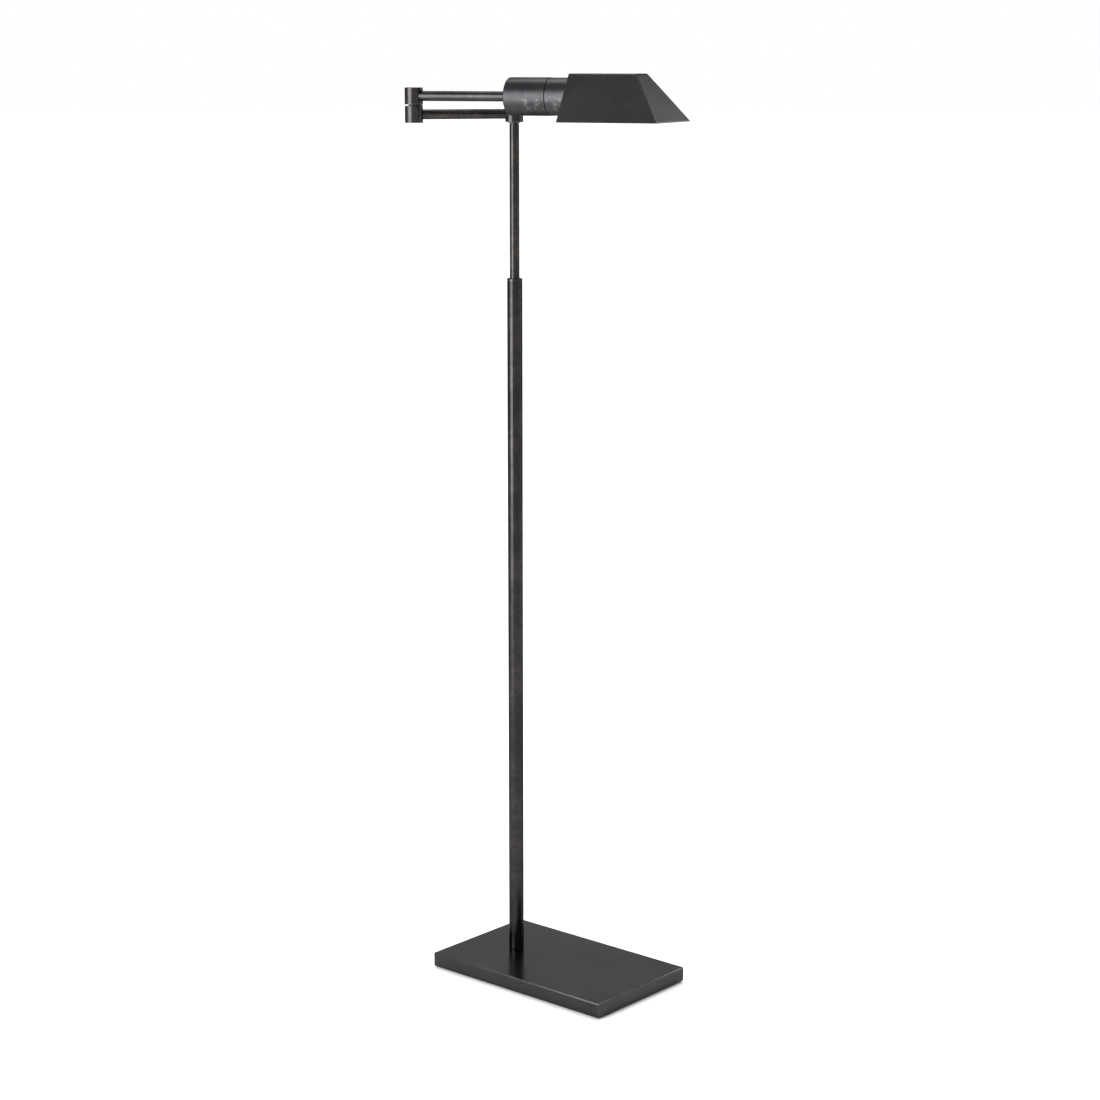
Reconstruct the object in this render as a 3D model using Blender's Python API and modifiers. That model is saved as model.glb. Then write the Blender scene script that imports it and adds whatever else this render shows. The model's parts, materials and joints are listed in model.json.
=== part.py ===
"""Pharmacy floor lamp: base plate, telescoping pole, two-piece swing arm and a rolling metal shade.

Run with: blender --background --python part.py

Metres, +Z up. The origin is on the floor under the pole, and +X runs along the base plate
towards its long end. Lengths that end in _R are radii. Each sub-assembly is modelled about its
own pivot, which is an empty, and moves with it.
"""

import math

import bmesh
import bpy
from mathutils import Vector

MM = 0.001

# Clearances
SEAT_GAP = 0.3 * MM
RUNNING_GAP = 0.2 * MM

# Facets of a round piece
FINE = 36
MEDIUM = 24
COARSE = 16

# Base plate and what fixes the pole to it
PLATE_LENGTH = 278 * MM
PLATE_WIDTH = 170 * MM
PLATE_THICKNESS = 18.2 * MM
PLATE_EDGE_RADIUS = 0.8 * MM
POLE_SETBACK = 68 * MM
FELT_THICKNESS = 1.2 * MM
FELT_INSET = 5 * MM
NUT_POCKET_R = 16 * MM
NUT_POCKET_DEPTH = 12 * MM
NIPPLE_R = 4.8 * MM
NIPPLE_BORE_R = 3.2 * MM
NIPPLE_RISE = 28 * MM
BASE_WASHER_R = 12 * MM
BASE_WASHER_THICKNESS = 1.5 * MM
LOCK_WASHER_R = 8.5 * MM
LOCK_WASHER_THICKNESS = 1.0 * MM
BASE_NUT_WALL = 3.7 * MM
BASE_NUT_THICKNESS = 5 * MM
CORD_BORE_R = 5 * MM
CORD_BORE_ABOVE_PLATE_BOTTOM = 6.8 * MM
BUSHING_BORE_R = 3.5 * MM
BUSHING_LENGTH = 9 * MM
BUSHING_FLANGE_R = 6.4 * MM
BUSHING_FLANGE_THICKNESS = 1.5 * MM

# Pole
POLE_WALL = 1.2 * MM
POLE_LENGTH = 868 * MM
FOOT_PLUG_LENGTH = 25 * MM
COLLAR_HEIGHT = 3 * MM
COLLAR_CHAMFER = 0.6 * MM
COLLAR_SKIRT_LENGTH = 24 * MM
COLLAR_SKIRT_WALL = 0.85 * MM
GUIDE_WALL = 0.75 * MM

# Stem that telescopes in the pole
STEM_R = 6 * MM
STEM_WALL = 1 * MM
STEM_IN_POLE = 250 * MM
STEM_SHOWING = 188 * MM
SLIDER_LENGTH = 18 * MM
SLIDER_SPIGOT_LENGTH = 12 * MM
SLIDER_BORE_R = 3 * MM
SLIDER_RING_WIRE_R = 0.5 * MM
SLIDER_RING_GROOVE_DEPTH = 1.2 * MM
POST_SPIGOT_LENGTH = 18 * MM
POST_FLANGE_THICKNESS = 1.2 * MM
POST_R = 4 * MM
POST_BORE_R = 2.4 * MM
POST_WINDOW_R = 2.2 * MM

# Swing-arm joints: one drum size for the hub on the pole and both halves of the elbow
DRUM_SOCKET_DEPTH = 2.8 * MM
DRUM_HEIGHT = 20 * MM
DRUM_EDGE = 0.5 * MM
WIRE_WAY_R = 3 * MM
HUB_WASHER_THICKNESS = 0.6 * MM
HUB_CAP_INSET = 0.4 * MM
HUB_CAP_THICKNESS = 1.5 * MM
HUB_CAP_SKIRT_WALL = 0.5 * MM
HUB_CAP_SKIRT_DEPTH = 1.2 * MM
PIVOT_NUT_WALL = 1.75 * MM
PIVOT_NUT_PLAY = 0.46 * MM
PIVOT_NUT_INSET = 0.2 * MM
PIVOT_NUT_THICKNESS = 2.2 * MM
ELBOW_GAP = 2 * MM
ELBOW_WASHER_R = 6.6 * MM
ELBOW_CLOSING_TRAVEL = math.radians(25)
ELBOW_OPENING_TRAVEL = math.radians(275)
STOP_LUG_SLACK = math.radians(1.5)
STOP_LUG_CLEARANCE = 0.6 * MM
ELBOW_NUT_INSET = 0.9 * MM
PIN_HEAD_R = 7.2 * MM
PIN_HEAD_THICKNESS = 2.9 * MM
PIN_HEAD_INSET = 0.4 * MM
PIN_HEAD_CLEARANCE = 0.4 * MM
PIN_SLOT_WIDTH = 1.4 * MM
PIN_SLOT_DEPTH = 1.2 * MM

# Arms
ARM_R = 6 * MM
ARM_WALL = 1 * MM
LOWER_ARM_SPAN = 127 * MM
UPPER_ARM_SPAN = 125.7 * MM
LOWER_ARM_HEADING = math.radians(239.4)
HEAD_HEADING = math.radians(18.4)

# Socket housing, along the head's axis from its rear face
HOUSING_WALL = 1.2 * MM
HOUSING_REAR_WALL = 2 * MM
HOUSING_LENGTH = 52.6 * MM
HOUSING_EDGE_RADIUS = 2 * MM
ARM_NIPPLE_IN_ARM = 17 * MM
ARM_NIPPLE_PAST_NUT = 1.5 * MM
BRACKET_THICKNESS = 1.2 * MM
BRACKET_WIDTH = 16 * MM
BRACKET_PAST_DIMMER = 3.3 * MM
BRACKET_LEG_OFFSET = 13 * MM
BRACKET_LIP = 8 * MM
ARM_NUT_WALL = 1.8 * MM
ARM_NUT_THICKNESS = 4 * MM
SOCKET_WALL = 2 * MM
SOCKET_FLOOR = 12 * MM
SOCKET_CAVITY_DEPTH = 34 * MM
SOCKET_WIRE_HOLE_R = 3 * MM
SCREW_SHELL_WALL = 0.6 * MM
SCREW_SHELL_SETBACK = 2.7 * MM
CONTACT_R = 4 * MM
CONTACT_THICKNESS = 1.2 * MM
BRACKET_SCREW_R = 1.5 * MM
BRACKET_SCREW_HEAD_R = 2.6 * MM
BRACKET_SCREW_HEAD_HEIGHT = 1.6 * MM
BRACKET_SCREW_LENGTH = 6 * MM
BRACKET_SCREW_SPREAD = 5 * MM
BRACKET_SCREW_OFFSET = 6 * MM

# Dimmer on the side of the housing
DIMMER_FROM_REAR = 19 * MM
DIMMER_BODY_R = 8 * MM
DIMMER_BODY_LENGTH = 14 * MM
DIMMER_THREAD_R = 3.5 * MM
DIMMER_THREAD_SHOWING = 3.1 * MM
DIMMER_SHAFT_R = 1.8 * MM
DIMMER_SHAFT_CLEARANCE = 0.4 * MM
DIMMER_NUT_R = 6 * MM
DIMMER_NUT_THICKNESS = 2 * MM
KNOB_R = 7.5 * MM
KNOB_LENGTH = 12 * MM
KNOB_SKIRT_WALL = 1.6 * MM
KNOB_EDGE = 0.8 * MM
KNOB_RECESS_DEPTH = 1.5 * MM

# Swivel collar and shade
COLLAR_STEP = 0.3 * MM
SEAM_WIDTH = 0.5 * MM
COLLAR_ROUND_SOCKET = 2 * MM
COLLAR_SHOWING = 29.3 * MM
SPIGOT_LENGTH = 17 * MM
SPIGOT_WALL = 2.6 * MM
SPIGOT_GAP = 0.4 * MM
NECK_WALL = 1.4 * MM
NECK_LENGTH = 7.6 * MM
STOP_GROOVE_FROM_SHOULDER = 9 * MM
STOP_GROOVE_WIDTH = 3.4 * MM
STOP_GROOVE_DEPTH = 1.3 * MM
STOP_PIN_R = 1.3 * MM
SWIVEL_RING_WIDTH = 2.2 * MM
SWIVEL_RING_GROOVE_DEPTH = 0.9 * MM
SWIVEL_RING_FROM_SHOULDER = 1.2 * MM
SHADE_PAST_BULB = 42.4 * MM
SHADE_SIDE_ROOM = 35 * MM
SHADE_TOP_ROOM = 3 * MM
SHADE_RIM_BELOW_NUT = 4 * MM
SHADE_SLOPE = 40 * MM
SHADE_WALL = 1 * MM
SHADE_INNER_BEND_RADIUS = 0.2 * MM
RING_NUT_WALL = 4 * MM
RING_NUT_THICKNESS = 4 * MM

# Bulb
BULB_R = 15 * MM
BULB_NECK_STEP = 0.7 * MM
BULB_WALL = 0.8 * MM
BULB_GLASS_LENGTH = 92 * MM
BULB_SHOULDER_LENGTH = 14 * MM
BULB_CAP_R = 12.7 * MM
BULB_CAP_PLAY = 0.7 * MM
BULB_CAP_LENGTH = 23 * MM
BULB_THREAD_PITCH = 3.6 * MM
BULB_THREAD_DEPTH = 0.5 * MM
BULB_INSULATOR_LENGTH = 2.6 * MM
BULB_TIP_R = 4.4 * MM
BULB_TIP_THICKNESS = 1.4 * MM

# Radii that follow from a mating piece
NIPPLE_HOLE_R = NIPPLE_R + SEAT_GAP
BASE_NUT_ACROSS_FLATS = 2 * (NIPPLE_R + BASE_NUT_WALL)
STEM_BORE_R = STEM_R - STEM_WALL
GUIDE_BORE_R = STEM_R + RUNNING_GAP
GUIDE_R = GUIDE_BORE_R + GUIDE_WALL
COLLAR_SKIRT_BORE_R = GUIDE_R + SEAT_GAP
COLLAR_SKIRT_R = COLLAR_SKIRT_BORE_R + COLLAR_SKIRT_WALL
POLE_BORE_R = COLLAR_SKIRT_R + RUNNING_GAP
POLE_R = POLE_BORE_R + POLE_WALL
SLIDER_R = POLE_BORE_R - SEAT_GAP
POST_HOLE_R = POST_R + SEAT_GAP
PIVOT_NUT_ACROSS_FLATS = 2 * (POST_R + PIVOT_NUT_WALL)
HUB_CAP_SKIRT_BORE_R = PIVOT_NUT_ACROSS_FLATS / math.sqrt(3) + PIVOT_NUT_PLAY
HUB_CAP_SKIRT_R = HUB_CAP_SKIRT_BORE_R + HUB_CAP_SKIRT_WALL
HUB_RECESS_R = HUB_CAP_SKIRT_R + SEAT_GAP
HUB_WASHER_R = HUB_RECESS_R - SEAT_GAP
DRUM_SOCKET_FLOOR_R = HUB_RECESS_R + SEAT_GAP
DRUM_R = DRUM_SOCKET_FLOOR_R + DRUM_SOCKET_DEPTH
HUB_CAP_R = DRUM_R - HUB_CAP_INSET
ARM_BORE_R = ARM_R - ARM_WALL
ARM_NIPPLE_R = ARM_BORE_R - SEAT_GAP
ARM_NUT_ACROSS_FLATS = 2 * (ARM_NIPPLE_R + ARM_NUT_WALL)
BULB_NECK_R = BULB_CAP_R - BULB_NECK_STEP
SCREW_SHELL_R = BULB_CAP_R + BULB_CAP_PLAY + SCREW_SHELL_WALL
SOCKET_CAVITY_R = SCREW_SHELL_R + SEAT_GAP
SOCKET_R = SOCKET_CAVITY_R + SOCKET_WALL
COLLAR_BORE_R = SOCKET_R + COLLAR_ROUND_SOCKET
SPIGOT_R = COLLAR_BORE_R + SPIGOT_WALL
HOUSING_BORE_R = SPIGOT_R + SPIGOT_GAP
HOUSING_R = HOUSING_BORE_R + HOUSING_WALL
COLLAR_R = HOUSING_R - COLLAR_STEP
NECK_R = COLLAR_BORE_R + NECK_WALL
RING_NUT_R = NECK_R + SEAT_GAP + RING_NUT_WALL
DIMMER_THREAD_END = HOUSING_R + DIMMER_THREAD_SHOWING

# Depths that follow from what they hold
HUB_RECESS_DEPTH = 2 * SEAT_GAP + HUB_WASHER_THICKNESS + PIVOT_NUT_THICKNESS + PIVOT_NUT_INSET
ELBOW_NUT_RECESS_DEPTH = SEAT_GAP + PIVOT_NUT_THICKNESS + ELBOW_NUT_INSET
PIN_HEAD_RECESS_DEPTH = SEAT_GAP + PIN_HEAD_THICKNESS + PIN_HEAD_INSET

# Heights, from the floor up
PLATE_BOTTOM = FELT_THICKNESS + SEAT_GAP
PLATE_TOP = PLATE_BOTTOM + PLATE_THICKNESS
POLE_BOTTOM = PLATE_TOP + SEAT_GAP
POLE_TOP = POLE_BOTTOM + POLE_LENGTH
COLLAR_TOP = POLE_TOP + SEAT_GAP + COLLAR_HEIGHT
STEM_TOP = COLLAR_TOP + STEM_SHOWING
STEM_BOTTOM = COLLAR_TOP - STEM_IN_POLE
POST_FLANGE_TOP = STEM_TOP + SEAT_GAP + POST_FLANGE_THICKNESS
HUB_BOTTOM = POST_FLANGE_TOP + 2 * SEAT_GAP + HUB_WASHER_THICKNESS
HUB_TOP = HUB_BOTTOM + DRUM_HEIGHT
LOWER_ARM_Z = HUB_BOTTOM + DRUM_HEIGHT / 2
UPPER_ARM_Z = LOWER_ARM_Z + DRUM_HEIGHT + ELBOW_GAP

# Stations along the head's axis, from the housing's rear face
BRACKET_START = HOUSING_REAR_WALL + SEAT_GAP
BRACKET_END = DIMMER_FROM_REAR + DIMMER_BODY_R + BRACKET_PAST_DIMMER
SOCKET_START = BRACKET_END + SEAT_GAP
SOCKET_CAVITY_START = SOCKET_START + SOCKET_FLOOR
SOCKET_END = SOCKET_CAVITY_START + SOCKET_CAVITY_DEPTH
COLLAR_START = HOUSING_LENGTH + SEAM_WIDTH
COLLAR_END = COLLAR_START + COLLAR_SHOWING
SHADE_START = COLLAR_END + SEAT_GAP
BULB_TIP_START = SOCKET_CAVITY_START + SEAT_GAP + CONTACT_THICKNESS + SEAT_GAP
BULB_INSULATOR_START = BULB_TIP_START + BULB_TIP_THICKNESS + SEAT_GAP
BULB_CAP_START = BULB_INSULATOR_START + BULB_INSULATOR_LENGTH + SEAT_GAP
BULB_GLASS_START = BULB_CAP_START + BULB_CAP_LENGTH + SEAT_GAP
BULB_GLASS_END = BULB_GLASS_START + BULB_GLASS_LENGTH
SHADE_FRONT = BULB_GLASS_END + SHADE_PAST_BULB


def clear_scene():
    """Removes every object that the file opens with."""
    for old in list(bpy.data.objects):
        bpy.data.objects.remove(old, do_unlink=True)


def new_collection(name):
    """A collection linked to the scene."""
    collection = bpy.data.collections.new(name)
    bpy.context.scene.collection.children.link(collection)
    return collection


def new_material(name, colour, roughness, metallic):
    """A Principled material with one colour, roughness and metallic value."""
    material = bpy.data.materials.new(name)
    material.use_nodes = True
    shader = material.node_tree.nodes["Principled BSDF"]
    shader.inputs["Base Color"].default_value = (*colour, 1)
    shader.inputs["Roughness"].default_value = roughness
    shader.inputs["Metallic"].default_value = metallic
    return material


clear_scene()
LAMP = new_collection("pharmacy_floor_lamp")
CUTTERS = new_collection("cutters")

BRONZE = new_material("dark_bronze", (0.035, 0.035, 0.037), 0.4, 0.8)
STEEL = new_material("zinc_steel", (0.55, 0.56, 0.58), 0.35, 1)
BRASS = new_material("brass", (0.72, 0.55, 0.28), 0.35, 1)
ALUMINIUM = new_material("aluminium", (0.77, 0.77, 0.78), 0.35, 1)
NYLON = new_material("nylon", (0.85, 0.84, 0.80), 0.5, 0)
BLACK_PLASTIC = new_material("black_plastic", (0.02, 0.02, 0.02), 0.4, 0)
RUBBER = new_material("rubber", (0.02, 0.02, 0.02), 0.8, 0)
FELT = new_material("felt", (0.03, 0.03, 0.03), 1, 0)
PORCELAIN = new_material("porcelain", (0.86, 0.85, 0.81), 0.2, 0)
FROSTED_GLASS = new_material("frosted_glass", (0.92, 0.92, 0.90), 0.35, 0)


def add(name, data, material, parent=None, location=(0, 0, 0), rotation=(0, 0, 0)):
    """Links a new object for one sub-part, placed in its parent's axes."""
    made = bpy.data.objects.new(name, data)
    made.parent = parent
    made.location = location
    made.rotation_euler = rotation
    if material is None:
        made.hide_render = True
        made.display_type = "WIRE"
        CUTTERS.objects.link(made)
    else:
        if data is not None:
            data.materials.append(material)
        LAMP.objects.link(made)
    return made


def pivot(name, parent, location, rotation):
    """An empty on a joint's axis, which carries a moving sub-assembly."""
    empty = bpy.data.objects.new(name, None)
    empty.parent = parent
    empty.location = location
    empty.rotation_euler = rotation
    LAMP.objects.link(empty)
    return empty


def turned(name, profile, material, parent=None, sides=MEDIUM, closed=True, **place):
    """A lathe-turned piece about its own Z axis.

    The profile is (radius, height) points that run down the outer side. A closed profile returns
    up the bore, and an open one starts and ends on the axis.
    """
    mesh = bpy.data.meshes.new(name)
    form = bmesh.new()
    points = [form.verts.new((radius, 0, height)) for radius, height in profile]
    for first, second in zip(points, points[1:]):
        form.edges.new((first, second))
    if closed:
        form.edges.new((points[-1], points[0]))
    form.to_mesh(mesh)
    form.free()
    made = add(name, mesh, material, parent, **place)
    screw = made.modifiers.new("lathe", "SCREW")
    screw.axis = "Z"
    screw.steps = sides
    screw.render_steps = sides
    screw.use_merge_vertices = True
    screw.merge_threshold = 0.01 * MM
    screw.use_smooth_shade = True
    return made


def tube(name, outer, inner, start, end, material, parent=None, sides=MEDIUM, **place):
    """A plain tube or washer between two heights on its own Z axis."""
    profile = [(outer, end), (outer, start), (inner, start), (inner, end)]
    return turned(name, profile, material, parent, sides, **place)


def cylinder_mesh(name, radius, start, end, sides):
    """The mesh of a capped cylinder on its own Z axis."""
    mesh = bpy.data.meshes.new(name)
    form = bmesh.new()
    bmesh.ops.create_cone(
        form, cap_ends=True, segments=sides, radius1=radius, radius2=radius, depth=end - start
    )
    bmesh.ops.translate(form, verts=form.verts, vec=(0, 0, (start + end) / 2))
    form.to_mesh(mesh)
    form.free()
    return mesh


def box_mesh(name, low, high):
    """The mesh of a box between two corners."""
    low = Vector(low)
    high = Vector(high)
    mesh = bpy.data.meshes.new(name)
    form = bmesh.new()
    bmesh.ops.create_cube(form, size=1)
    bmesh.ops.scale(form, verts=form.verts, vec=high - low)
    bmesh.ops.translate(form, verts=form.verts, vec=(low + high) / 2)
    form.to_mesh(mesh)
    form.free()
    return mesh


def cut(target, cutter):
    """Cuts one object's shape out of another."""
    boolean = target.modifiers.new(cutter.name, "BOOLEAN")
    boolean.operation = "DIFFERENCE"
    boolean.object = cutter


def join(target, addition):
    """Joins one object's shape to another."""
    boolean = target.modifiers.new(addition.name, "BOOLEAN")
    boolean.operation = "UNION"
    boolean.object = addition


def cut_cylinder(target, name, radius, start, end, parent=None, sides=COARSE, **place):
    """Drills a round hole along the cutter's own Z axis."""
    cutter = add(name, cylinder_mesh(name, radius, start, end, sides), None, parent, **place)
    cut(target, cutter)


def cut_box(target, name, low, high, parent=None, **place):
    """Mills a rectangular slot."""
    cut(target, add(name, box_mesh(name, low, high), None, parent, **place))


def ring_points(radius, count, turn=0.0):
    """Points round a circle in the XY plane."""
    steps = [turn + math.tau * step / count for step in range(count)]
    return [(radius * math.cos(angle), radius * math.sin(angle)) for angle in steps]


def flat_plate(name, outlines, low, high, material, parent=None, location=(0, 0, 0), rotation=(0, 0, 0)):
    """A flat outline with its holes, given a thickness from low to high on its own Z axis."""
    curve = bpy.data.curves.new(name, "CURVE")
    curve.dimensions = "2D"
    curve.fill_mode = "BOTH"
    curve.extrude = (high - low) / 2
    for outline in outlines:
        spline = curve.splines.new("POLY")
        spline.points.add(len(outline) - 1)
        for point, (x, y) in zip(spline.points, outline):
            point.co = (x, y, 0, 1)
        spline.use_cyclic_u = True
    middle = (low + high) / 2
    made = add(name, curve, material, parent, location, rotation)
    # The curve lies in its own plane, so the plate is lifted along its own Z axis.
    made.location = Vector(location) + made.rotation_euler.to_matrix() @ Vector((0, 0, middle))
    return made


def hex_nut(name, across_flats, bore, start, end, material, parent=None, **place):
    """A hexagon nut between two heights on its own Z axis."""
    corner = across_flats / math.sqrt(3)
    outlines = [ring_points(corner, 6), ring_points(bore, COARSE)]
    return flat_plate(name, outlines, start, end, material, parent, **place)


def arc(centre, radius, start_degrees, end_degrees, steps):
    """Points along an arc in a profile's (radius, height) plane."""
    turns = [start_degrees + (end_degrees - start_degrees) * step / steps for step in range(steps + 1)]
    return [
        (
            centre[0] + radius * math.cos(math.radians(turn)),
            centre[1] + radius * math.sin(math.radians(turn)),
        )
        for turn in turns
    ]


# --- Base -----------------------------------------------------------------------------------


def build_base():
    """The plate, its felt, and the nipple, washers and nut that hold the pole."""
    rear = -POLE_SETBACK
    front = rear + PLATE_LENGTH
    side = PLATE_WIDTH / 2
    pocket_top = PLATE_BOTTOM + NUT_POCKET_DEPTH
    bore_z = PLATE_BOTTOM + CORD_BORE_ABOVE_PLATE_BOTTOM

    plate_mesh = box_mesh("base_plate", (rear, -side, PLATE_BOTTOM), (front, side, PLATE_TOP))
    plate = add("base_plate", plate_mesh, BRONZE)
    edge = plate.modifiers.new("eased_edges", "BEVEL")
    edge.width = PLATE_EDGE_RADIUS
    edge.segments = 2
    cut_cylinder(plate, "nut_pocket", NUT_POCKET_R, PLATE_BOTTOM - 5 * MM, pocket_top, sides=MEDIUM)
    cut_cylinder(plate, "nipple_hole", NIPPLE_HOLE_R, PLATE_BOTTOM, PLATE_TOP + 5 * MM)
    cut_cylinder(
        plate,
        "cord_bore",
        CORD_BORE_R,
        rear - 5 * MM,
        -NUT_POCKET_R / 2,
        location=(0, 0, bore_z),
        rotation=(0, math.pi / 2, 0),
    )

    felt_mesh = box_mesh(
        "base_felt",
        (rear + FELT_INSET, -side + FELT_INSET, 0),
        (front - FELT_INSET, side - FELT_INSET, FELT_THICKNESS),
    )
    add("base_felt", felt_mesh, FELT)

    flange_start = rear - SEAT_GAP
    bushing_profile = [
        (CORD_BORE_R - SEAT_GAP, flange_start + BUSHING_LENGTH),
        (CORD_BORE_R - SEAT_GAP, flange_start),
        (BUSHING_FLANGE_R, flange_start),
        (BUSHING_FLANGE_R, flange_start - BUSHING_FLANGE_THICKNESS),
        (BUSHING_BORE_R, flange_start - BUSHING_FLANGE_THICKNESS),
        (BUSHING_BORE_R, flange_start + BUSHING_LENGTH),
    ]
    turned(
        "cord_bushing",
        bushing_profile,
        BLACK_PLASTIC,
        sides=COARSE,
        location=(0, 0, bore_z),
        rotation=(0, math.pi / 2, 0),
    )

    washer_top = pocket_top - SEAT_GAP
    washer_bottom = washer_top - BASE_WASHER_THICKNESS
    lock_top = washer_bottom - SEAT_GAP
    lock_bottom = lock_top - LOCK_WASHER_THICKNESS
    nut_top = lock_bottom - SEAT_GAP
    nut_bottom = nut_top - BASE_NUT_THICKNESS
    tube("base_washer", BASE_WASHER_R, NIPPLE_HOLE_R, washer_bottom, washer_top, STEEL)
    tube("base_lock_washer", LOCK_WASHER_R, NIPPLE_HOLE_R, lock_bottom, lock_top, STEEL, sides=COARSE)
    hex_nut("base_nut", BASE_NUT_ACROSS_FLATS, NIPPLE_HOLE_R, nut_bottom, nut_top, STEEL)
    nipple_bottom = nut_bottom - SEAT_GAP
    nipple_top = POLE_BOTTOM + NIPPLE_RISE
    tube("pole_nipple", NIPPLE_R, NIPPLE_BORE_R, nipple_bottom, nipple_top, STEEL, sides=COARSE)


def build_pole():
    """The outer tube, its foot plug, and the collar and guide bush at its mouth."""
    tube("pole_tube", POLE_R, POLE_BORE_R, POLE_BOTTOM, POLE_TOP, BRONZE)
    plug_r = POLE_BORE_R - SEAT_GAP
    plug_top = POLE_BOTTOM + FOOT_PLUG_LENGTH
    tube("pole_foot_plug", plug_r, NIPPLE_HOLE_R, POLE_BOTTOM, plug_top, STEEL, sides=COARSE)

    skirt_bottom = POLE_TOP - COLLAR_SKIRT_LENGTH
    collar_profile = [
        (POLE_R - COLLAR_CHAMFER, COLLAR_TOP),
        (POLE_R, COLLAR_TOP - COLLAR_CHAMFER),
        (POLE_R, POLE_TOP + SEAT_GAP),
        (COLLAR_SKIRT_R, POLE_TOP + SEAT_GAP),
        (COLLAR_SKIRT_R, skirt_bottom),
        (COLLAR_SKIRT_BORE_R, skirt_bottom),
        (COLLAR_SKIRT_BORE_R, COLLAR_TOP),
    ]
    turned("pole_collar", collar_profile, BRONZE)
    guide_top = COLLAR_TOP - COLLAR_CHAMFER
    tube("guide_bush", GUIDE_R, GUIDE_BORE_R, skirt_bottom, guide_top, BLACK_PLASTIC)


# --- Stem -----------------------------------------------------------------------------------


def build_stem(stem):
    """The inner tube, the slider at its foot and the pivot post at its top."""
    tube("stem_tube", STEM_R, STEM_BORE_R, STEM_BOTTOM, STEM_TOP, BRONZE, stem)

    slider_top = STEM_BOTTOM - SEAT_GAP
    slider_bottom = slider_top - SLIDER_LENGTH
    groove_middle = (slider_top + slider_bottom) / 2
    groove_half = 2 * SLIDER_RING_WIRE_R
    groove_r = SLIDER_R - SLIDER_RING_GROOVE_DEPTH
    spigot_r = STEM_BORE_R - SEAT_GAP
    slider_profile = [
        (spigot_r, slider_top + SLIDER_SPIGOT_LENGTH),
        (spigot_r, slider_top),
        (SLIDER_R, slider_top),
        (SLIDER_R, groove_middle + groove_half),
        (groove_r, groove_middle + groove_half),
        (groove_r, groove_middle - groove_half),
        (SLIDER_R, groove_middle - groove_half),
        (SLIDER_R, slider_bottom),
        (SLIDER_BORE_R, slider_bottom),
        (SLIDER_BORE_R, slider_top + SLIDER_SPIGOT_LENGTH),
    ]
    turned("stem_slider", slider_profile, NYLON, stem)
    ring_r = groove_r + RUNNING_GAP + SLIDER_RING_WIRE_R
    ring_profile = arc((ring_r, groove_middle), SLIDER_RING_WIRE_R, 90, -225, 7)
    turned("slider_ring", ring_profile, RUBBER, stem, COARSE)

    build_pivot_post(stem)


def build_pivot_post(stem):
    """The post that the hub turns on, with its washers and nut."""
    flange_bottom = STEM_TOP + SEAT_GAP
    spigot_r = STEM_BORE_R - SEAT_GAP
    recess_floor = HUB_TOP - HUB_RECESS_DEPTH
    washer_bottom = recess_floor + SEAT_GAP
    washer_top = washer_bottom + HUB_WASHER_THICKNESS
    nut_bottom = washer_top + SEAT_GAP
    nut_top = nut_bottom + PIVOT_NUT_THICKNESS
    post_profile = [
        (POST_R, nut_top),
        (POST_R, POST_FLANGE_TOP),
        (STEM_R, POST_FLANGE_TOP),
        (STEM_R, flange_bottom),
        (spigot_r, flange_bottom),
        (spigot_r, flange_bottom - POST_SPIGOT_LENGTH),
        (POST_BORE_R, flange_bottom - POST_SPIGOT_LENGTH),
        (POST_BORE_R, nut_top),
    ]
    post = turned("pivot_post", post_profile, BRONZE, stem)
    cut_cylinder(
        post,
        "post_wire_way",
        POST_WINDOW_R,
        0,
        2 * POST_R,
        stem,
        sides=COARSE,
        location=(0, 0, LOWER_ARM_Z),
        rotation=(0, math.pi / 2, LOWER_ARM_HEADING),
    )
    thrust_bottom = POST_FLANGE_TOP + SEAT_GAP
    thrust_top = thrust_bottom + HUB_WASHER_THICKNESS
    thrust_span = (thrust_bottom, thrust_top)
    tube("hub_thrust_washer", HUB_WASHER_R, POST_HOLE_R, *thrust_span, BLACK_PLASTIC, stem, COARSE)
    tube("pivot_washer", HUB_WASHER_R, POST_HOLE_R, washer_bottom, washer_top, STEEL, stem, COARSE)
    hex_nut("pivot_nut", PIVOT_NUT_ACROSS_FLATS, POST_HOLE_R, nut_bottom, nut_top, STEEL, stem)


# --- Swing arm ------------------------------------------------------------------------------


def drum(name, bottom, recess_top, recess_bottom, recess_r, arm_angle, parent):
    """One upright drum of a swing joint, bored for its pin and socketed for an arm.

    Heights are in the parent's axes, and the arm leaves at arm_angle round the parent's Z axis.
    """
    top = bottom + DRUM_HEIGHT
    profile = [
        (DRUM_R - DRUM_EDGE, top),
        (DRUM_R, top - DRUM_EDGE),
        (DRUM_R, bottom + DRUM_EDGE),
        (DRUM_R - DRUM_EDGE, bottom),
    ]
    if recess_bottom:
        profile += [(recess_r, bottom), (recess_r, bottom + recess_bottom)]
        profile += [(POST_HOLE_R, bottom + recess_bottom)]
    else:
        profile += [(POST_HOLE_R, bottom)]
    if recess_top:
        profile += [(POST_HOLE_R, top - recess_top), (recess_r, top - recess_top), (recess_r, top)]
    else:
        profile += [(POST_HOLE_R, top)]
    made = turned(name, profile, BRONZE, parent, FINE)
    middle = (0, 0, bottom + DRUM_HEIGHT / 2)
    turn = (0, math.pi / 2, arm_angle)
    socket_r = ARM_R + SEAT_GAP
    way = dict(location=middle, rotation=turn)
    cut_cylinder(made, name + "_socket", socket_r, DRUM_SOCKET_FLOOR_R, 2 * DRUM_R, parent, MEDIUM, **way)
    cut_cylinder(made, name + "_wire_way", WIRE_WAY_R, 0, DRUM_R, parent, COARSE, **way)
    return made


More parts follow.
